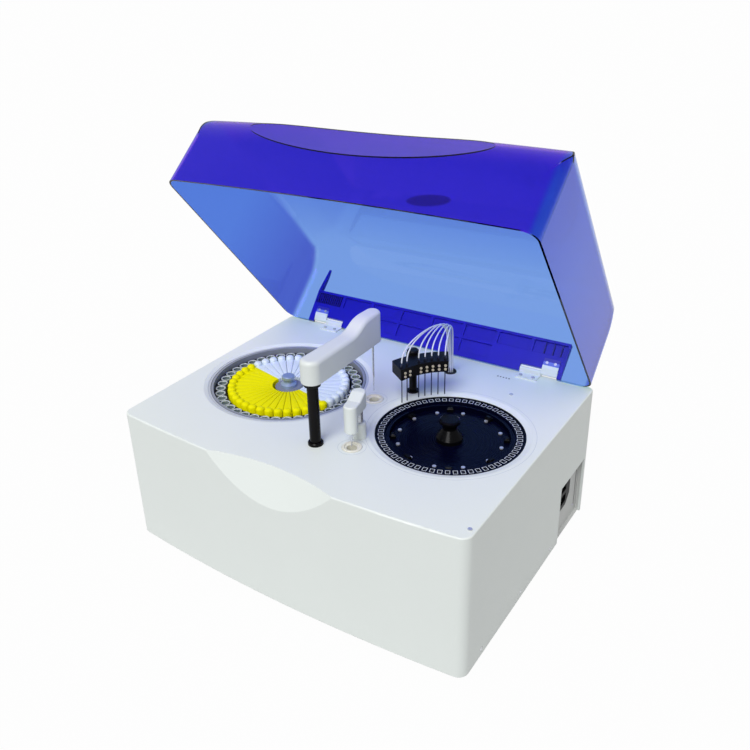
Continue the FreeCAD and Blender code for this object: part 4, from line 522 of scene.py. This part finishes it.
def wedge(mesh):
    """One bottle along +X: a low wedge with a taller round end under a dome."""
    slope = math.tan(math.pi / bottle_count)
    near = bottle_inner * slope - bottle_play
    far = bottle_middle * slope - bottle_play
    bottle_part(mesh, [(bottle_inner, near), (bottle_middle, far)], bottle_low, 0.0012, 2)
    top = disc_level + bottle_high
    r = bottle_round
    section = [(0.0001, disc_level), (r, disc_level), (r, top - 0.0052), (0.92 * r, top - 0.0030),
               (0.72 * r, top - 0.0013), (0.40 * r, top - 0.0003), (0.0001, top)]
    spun(mesh, section, 16, Vector((bottle_outer - r, 0, 0)))


def bottle_run(name, node, indices, material):
    """A run of bottles round the disc."""
    mesh = bmesh.new()
    repeated(mesh, wedge, reagent, [bottle_phase + k * 2 * math.pi / bottle_count for k in indices])
    run = piece(name, mesh, "reagent_tray", material)
    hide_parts(node)


bottle_run("yellow_bottles_shaped", "yellow_bottles", yellow_bottles, yellow)
white_run = [k for k in range(bottle_count) if k not in yellow_bottles]
bottle_run("white_bottles_shaped", "white_bottles", white_run, milky)


# Sample cups

def cup(mesh):
    """One open cup with a rolled rim, hung in the channel."""
    top = channel_level
    section = [(0.0001, top - 0.034), (0.0058, top - 0.034), (0.0080, top - 0.030), (0.0082, top),
               (0.0096, top), (0.0099, top + 0.0008), (0.0096, top + 0.0016), (0.0080, top + 0.0016),
               (0.0072, top + 0.0008), (0.0070, top - 0.029), (0.0052, top - 0.031), (0.0001, top - 0.031)]
    spun(mesh, section, 14, Vector((cup_ring, 0, 0)))


def cups():
    """The ring of cups round the bottles."""
    mesh = bmesh.new()
    repeated(mesh, cup, reagent, [k * 2 * math.pi / cup_count for k in range(cup_count)])
    ring = piece("sample_cups_shaped", mesh, "reagent_tray", clear_cup)
    ring.data.materials.append(cup_rim_highlight)
    # The rim faces take the painted highlight.
    for face in ring.data.polygons:
        face.material_index = int(face.center.z > channel_level - 0.0002)
    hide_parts("sample_cups")


cups()


# Wash tubes

def wash_tube(index):
    """One soft tube from its needle up, back and down into the grommet."""
    start = polar(reaction, slot_ring, needle_angles[index], needle_top)
    place = index * 2 * math.pi / len(needle_angles)
    end = Vector((grommet.x + 0.0046 * math.cos(place), grommet.y + 0.0046 * math.sin(place), deck - 0.006))
    high = needle_top + 0.024 + 0.0015 * index
    ahead = Vector((end.x - start.x, end.y - start.y, 0))
    way = [start, Vector((start.x, start.y, high)), Vector((end.x, end.y, high + 0.004)) - 0.10 * ahead,
           Vector((end.x, end.y, deck + 0.032)), end]
    name = "wash_tube_" + str(index + 1)
    curve = bpy.data.curves.new(name, "CURVE")
    curve.dimensions = "3D"
    curve.bevel_depth = tube_radius
    curve.bevel_resolution = 3
    curve.resolution_u = 16
    curve.use_fill_caps = True
    line = curve.splines.new("NURBS")
    line.points.add(len(way) - 1)
    for point, spot in zip(line.points, way):
        point.co = (*spot, 1)
    line.order_u = 3
    line.use_endpoint_u = True
    tube = bpy.data.objects.new(name, curve)
    bpy.context.scene.collection.objects.link(tube)
    curve.materials.append(clear_tube)
    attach(tube, "wash_head")
    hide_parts("wash_tubes")


for index in range(len(needle_angles)):
    wash_tube(index)


# Lugs on the centre plate

plate_level = deck - 0.016


def lug(mesh):
    """A small stepped block at the edge of the centre plate."""
    made = bmesh.ops.create_cube(mesh, size=1.0)["verts"]
    bmesh.ops.scale(mesh, verts=made, vec=(0.009, 0.012, 0.006))
    bmesh.ops.translate(mesh, verts=made, vec=(0.0945, 0, plate_level + 0.0029))
    upper = [f for f in mesh.faces if f.normal.z > 0.9]
    bmesh.ops.inset_region(mesh, faces=upper, thickness=0.0022, depth=0.0)
    raised = bmesh.ops.extrude_face_region(mesh, geom=upper)
    top = [v for v in raised["geom"] if isinstance(v, bmesh.types.BMVert)]
    bmesh.ops.translate(mesh, verts=top, vec=(0, 0, 0.002))
    bmesh.ops.delete(mesh, geom=upper, context="FACES_ONLY")
    bmesh.ops.bevel(mesh, geom=list(mesh.edges), offset=0.0004, segments=1, profile=0.5, affect="EDGES",
                    material=-1)


def lugs():
    """Eight lugs, evenly spaced."""
    mesh = bmesh.new()
    repeated(mesh, lug, reaction, [math.radians(26.7 + 45 * k) for k in range(8)])
    piece("rotor_lugs", mesh, "reaction_tray", knob_black, smooth=False)


lugs()


# Ribs in the lid's strip

rib_sink = 0.0034
rib_below_face = 0.0002
fine_rib_count = 12
fine_rib_first = -0.2822
fine_rib_pitch = 0.0051
fine_rib_width = 0.0014
wide_rib_width = 0.0022
wide_rib_places = (0.2392, 0.2561, 0.2714)


def on_lid(x, ahead, rise):
    """A place on the lid, from how far ahead of its hinge pin and above it that lies when shut."""
    level = math.cos(lid_angle)
    steep = math.sin(lid_angle)
    return Vector((x, lid_axis.y - ahead * level + rise * steep, lid_axis.z + ahead * steep + rise * level))


def strip_rib(mesh, x, width):
    """An upright rib in one of the strip's upper fields."""
    corners = []
    sides = ((field_low, rib_sink), (field_low, rib_below_face),
             (field_high, rib_below_face), (field_high, rib_sink))
    for rise, sunk in sides:
        face_ahead = strip_foot_ahead + strip_slope * (rise - strip_foot)
        corners.append(mesh.verts.new(on_lid(x - width / 2, face_ahead - sunk, rise)))
    made = bmesh.ops.extrude_face_region(mesh, geom=[mesh.faces.new(corners)])
    far = [v for v in made["geom"] if isinstance(v, bmesh.types.BMVert)]
    bmesh.ops.translate(mesh, verts=far, vec=(width, 0, 0))


def strip_ribs():
    """Fine ribs at the strip's left end and three wider ones at its right end."""
    mesh = bmesh.new()
    for k in range(fine_rib_count):
        strip_rib(mesh, fine_rib_first + fine_rib_pitch * k, fine_rib_width)
    for x in wide_rib_places:
        strip_rib(mesh, x, wide_rib_width)
    piece("strip_ribs", mesh, "lid", strip_rib_shaded_blue, smooth=False)


# The ribs are the strip's blue made darker, as painted shade in the sunk fields.
strip_rib_shaded_blue = moulded("strip rib, deeper blue plastic", shade(18, 12, 118), 0.36,
                         grain=300, depth=0.00006, tone=0.08, gloss=0.3)
strip_ribs()


# Painted shade lines and vent holes on the deck

def deck_marks():
    """Faint turned rings round the openings, grey ribbons painted as the shade line of moulded steps in the
    deck.
    """
    mesh = bmesh.new()
    low = deck - 0.0002
    high = deck + 0.00012
    for centre, radius in ((reaction, 0.1425), (probe_wash_well, 0.0235), (mixer_wash_well, 0.0235)):
        inner = radius - 0.0003
        outer = radius + 0.0003
        section = [(inner, low), (outer, low), (outer, high), (inner, high)]
        spun(mesh, section, 96, centre)
    piece("deck_rings", mesh, "base", step_shade_grey)


def vents():
    """Five small vent holes near the back of the deck, as dark discs with a raised rim; the dark discs are
    painted shade inside the holes.
    """
    mesh = bmesh.new()
    first = Vector((0.1755, 0.1756, 0))
    apart = Vector((0.0056, 0, 0))
    for k in range(5):
        centre = first + apart * k
        section = [(0.0001, deck + 0.00005), (0.0013, deck + 0.00005), (0.0016, deck + 0.0002),
                   (0.0016, deck - 0.0002), (0.0001, deck - 0.0002)]
        spun(mesh, section, 12, centre)
    # The dark discs are painted shade inside the vent holes.
    piece("deck_vents", mesh, "base", soft_black)


# Grey for the painted shade lines of the deck's steps.
step_shade_grey = moulded("moulded step, shaded white", shade(196, 204, 212), 0.5)
deck_marks()
vents()


# Bench, light and camera

def bench():
    """A pale bench that keeps the shadow while the picture stays white behind the object."""
    mesh = bmesh.new()
    bmesh.ops.create_grid(mesh, x_segments=1, y_segments=1, size=80.0)
    data = bpy.data.meshes.new("bench")
    mesh.to_mesh(data)
    mesh.free()
    floor = bpy.data.objects.new("bench", data)
    bpy.context.scene.collection.objects.link(floor)
    finish = Finish("bench, plain white")
    finish.set(Base_Color=(0.43, 0.43, 0.43, 1), Roughness=0.9)
    white = finish.add("ShaderNodeEmission", Color=(1, 1, 1, 1), Strength=1.0)
    both = finish.add("ShaderNodeMixShader")
    finish.link(seen_share(finish, 0.975), both.inputs["Fac"])
    finish.link(finish.shader.outputs["BSDF"], both.inputs[1])
    finish.link(white.outputs["Emission"], both.inputs[2])
    finish.link(both.outputs["Shader"], finish.output.inputs["Surface"])
    data.materials.append(finish.material)


def seen_share(finish, share):
    """A share for rays that come straight from the camera, off gloss or through something clear."""
    path = finish.add("ShaderNodeLightPath")
    first = finish.add("ShaderNodeMath", operation="MAXIMUM")
    finish.link(path.outputs["Is Camera Ray"], first.inputs[0])
    finish.link(path.outputs["Is Transmission Ray"], first.inputs[1])
    second = finish.add("ShaderNodeMath", operation="MAXIMUM")
    finish.link(first.outputs["Value"], second.inputs[0])
    finish.link(path.outputs["Is Glossy Ray"], second.inputs[1])
    part = finish.add("ShaderNodeMath", operation="MULTIPLY")
    finish.link(second.outputs["Value"], part.inputs[0])
    part.inputs[1].default_value = share
    return part.outputs["Value"]


def sky():
    """A white studio round the object, dimmer for the light that it throws."""
    world = bpy.data.worlds.new("studio")
    bpy.context.scene.world = world
    world.use_nodes = True
    tree = world.node_tree
    tree.nodes.clear()
    path = tree.nodes.new("ShaderNodeLightPath")
    first = tree.nodes.new("ShaderNodeMath")
    first.operation = "MAXIMUM"
    tree.links.new(path.outputs["Is Camera Ray"], first.inputs[0])
    tree.links.new(path.outputs["Is Transmission Ray"], first.inputs[1])
    strength = tree.nodes.new("ShaderNodeMapRange")
    strength.inputs["To Min"].default_value = 0.46
    strength.inputs["To Max"].default_value = 1.0
    tree.links.new(first.outputs["Value"], strength.inputs["Value"])
    light = tree.nodes.new("ShaderNodeBackground")
    light.inputs["Color"].default_value = (1, 1, 1, 1)
    tree.links.new(strength.outputs["Result"], light.inputs["Strength"])
    out = tree.nodes.new("ShaderNodeOutputWorld")
    tree.links.new(light.outputs["Background"], out.inputs["Surface"])


def lamp(name, kind, energy, way, **settings):
    """A lamp that shines along a direction."""
    data = bpy.data.lights.new(name, kind)
    data.energy = energy
    for key, value in settings.items():
        setattr(data, key, value)
    thing = bpy.data.objects.new(name, data)
    bpy.context.scene.collection.objects.link(thing)
    thing.rotation_euler = Vector(way).to_track_quat("-Z", "Y").to_euler()
    return thing


def camera():
    """The camera at the photograph's place, solved from the edges of the case."""
    azimuth = math.radians(36.57)
    rise = math.radians(25.85)
    roll = math.radians(-2.99)
    back = Vector((math.sin(azimuth) * math.cos(rise), -math.cos(azimuth) * math.cos(rise), math.sin(rise)))
    right = (-back).cross(Vector((0, 0, 1))).normalized()
    up = right.cross(-back)
    level = right * math.cos(roll) + up * math.sin(roll)
    upright = -right * math.sin(roll) + up * math.cos(roll)
    data = bpy.data.cameras.new("camera")
    data.sensor_width = 36.0
    data.lens = 39.23
    data.shift_x = 0.0657
    data.shift_y = -0.0279
    thing = bpy.data.objects.new("camera", data)
    bpy.context.scene.collection.objects.link(thing)
    turn = Matrix((level, upright, back)).transposed().to_4x4()
    place = Vector((0.7277, -1.10904, 0.9935))
    thing.matrix_world = Matrix.Translation(place) @ turn
    bpy.context.scene.camera = thing


bench()
sky()
lamp("window light", "SUN", 2.25, (-0.08, 0.60, -0.80), angle=0.6)
camera()
bpy.context.scene.view_settings.view_transform = "Standard"
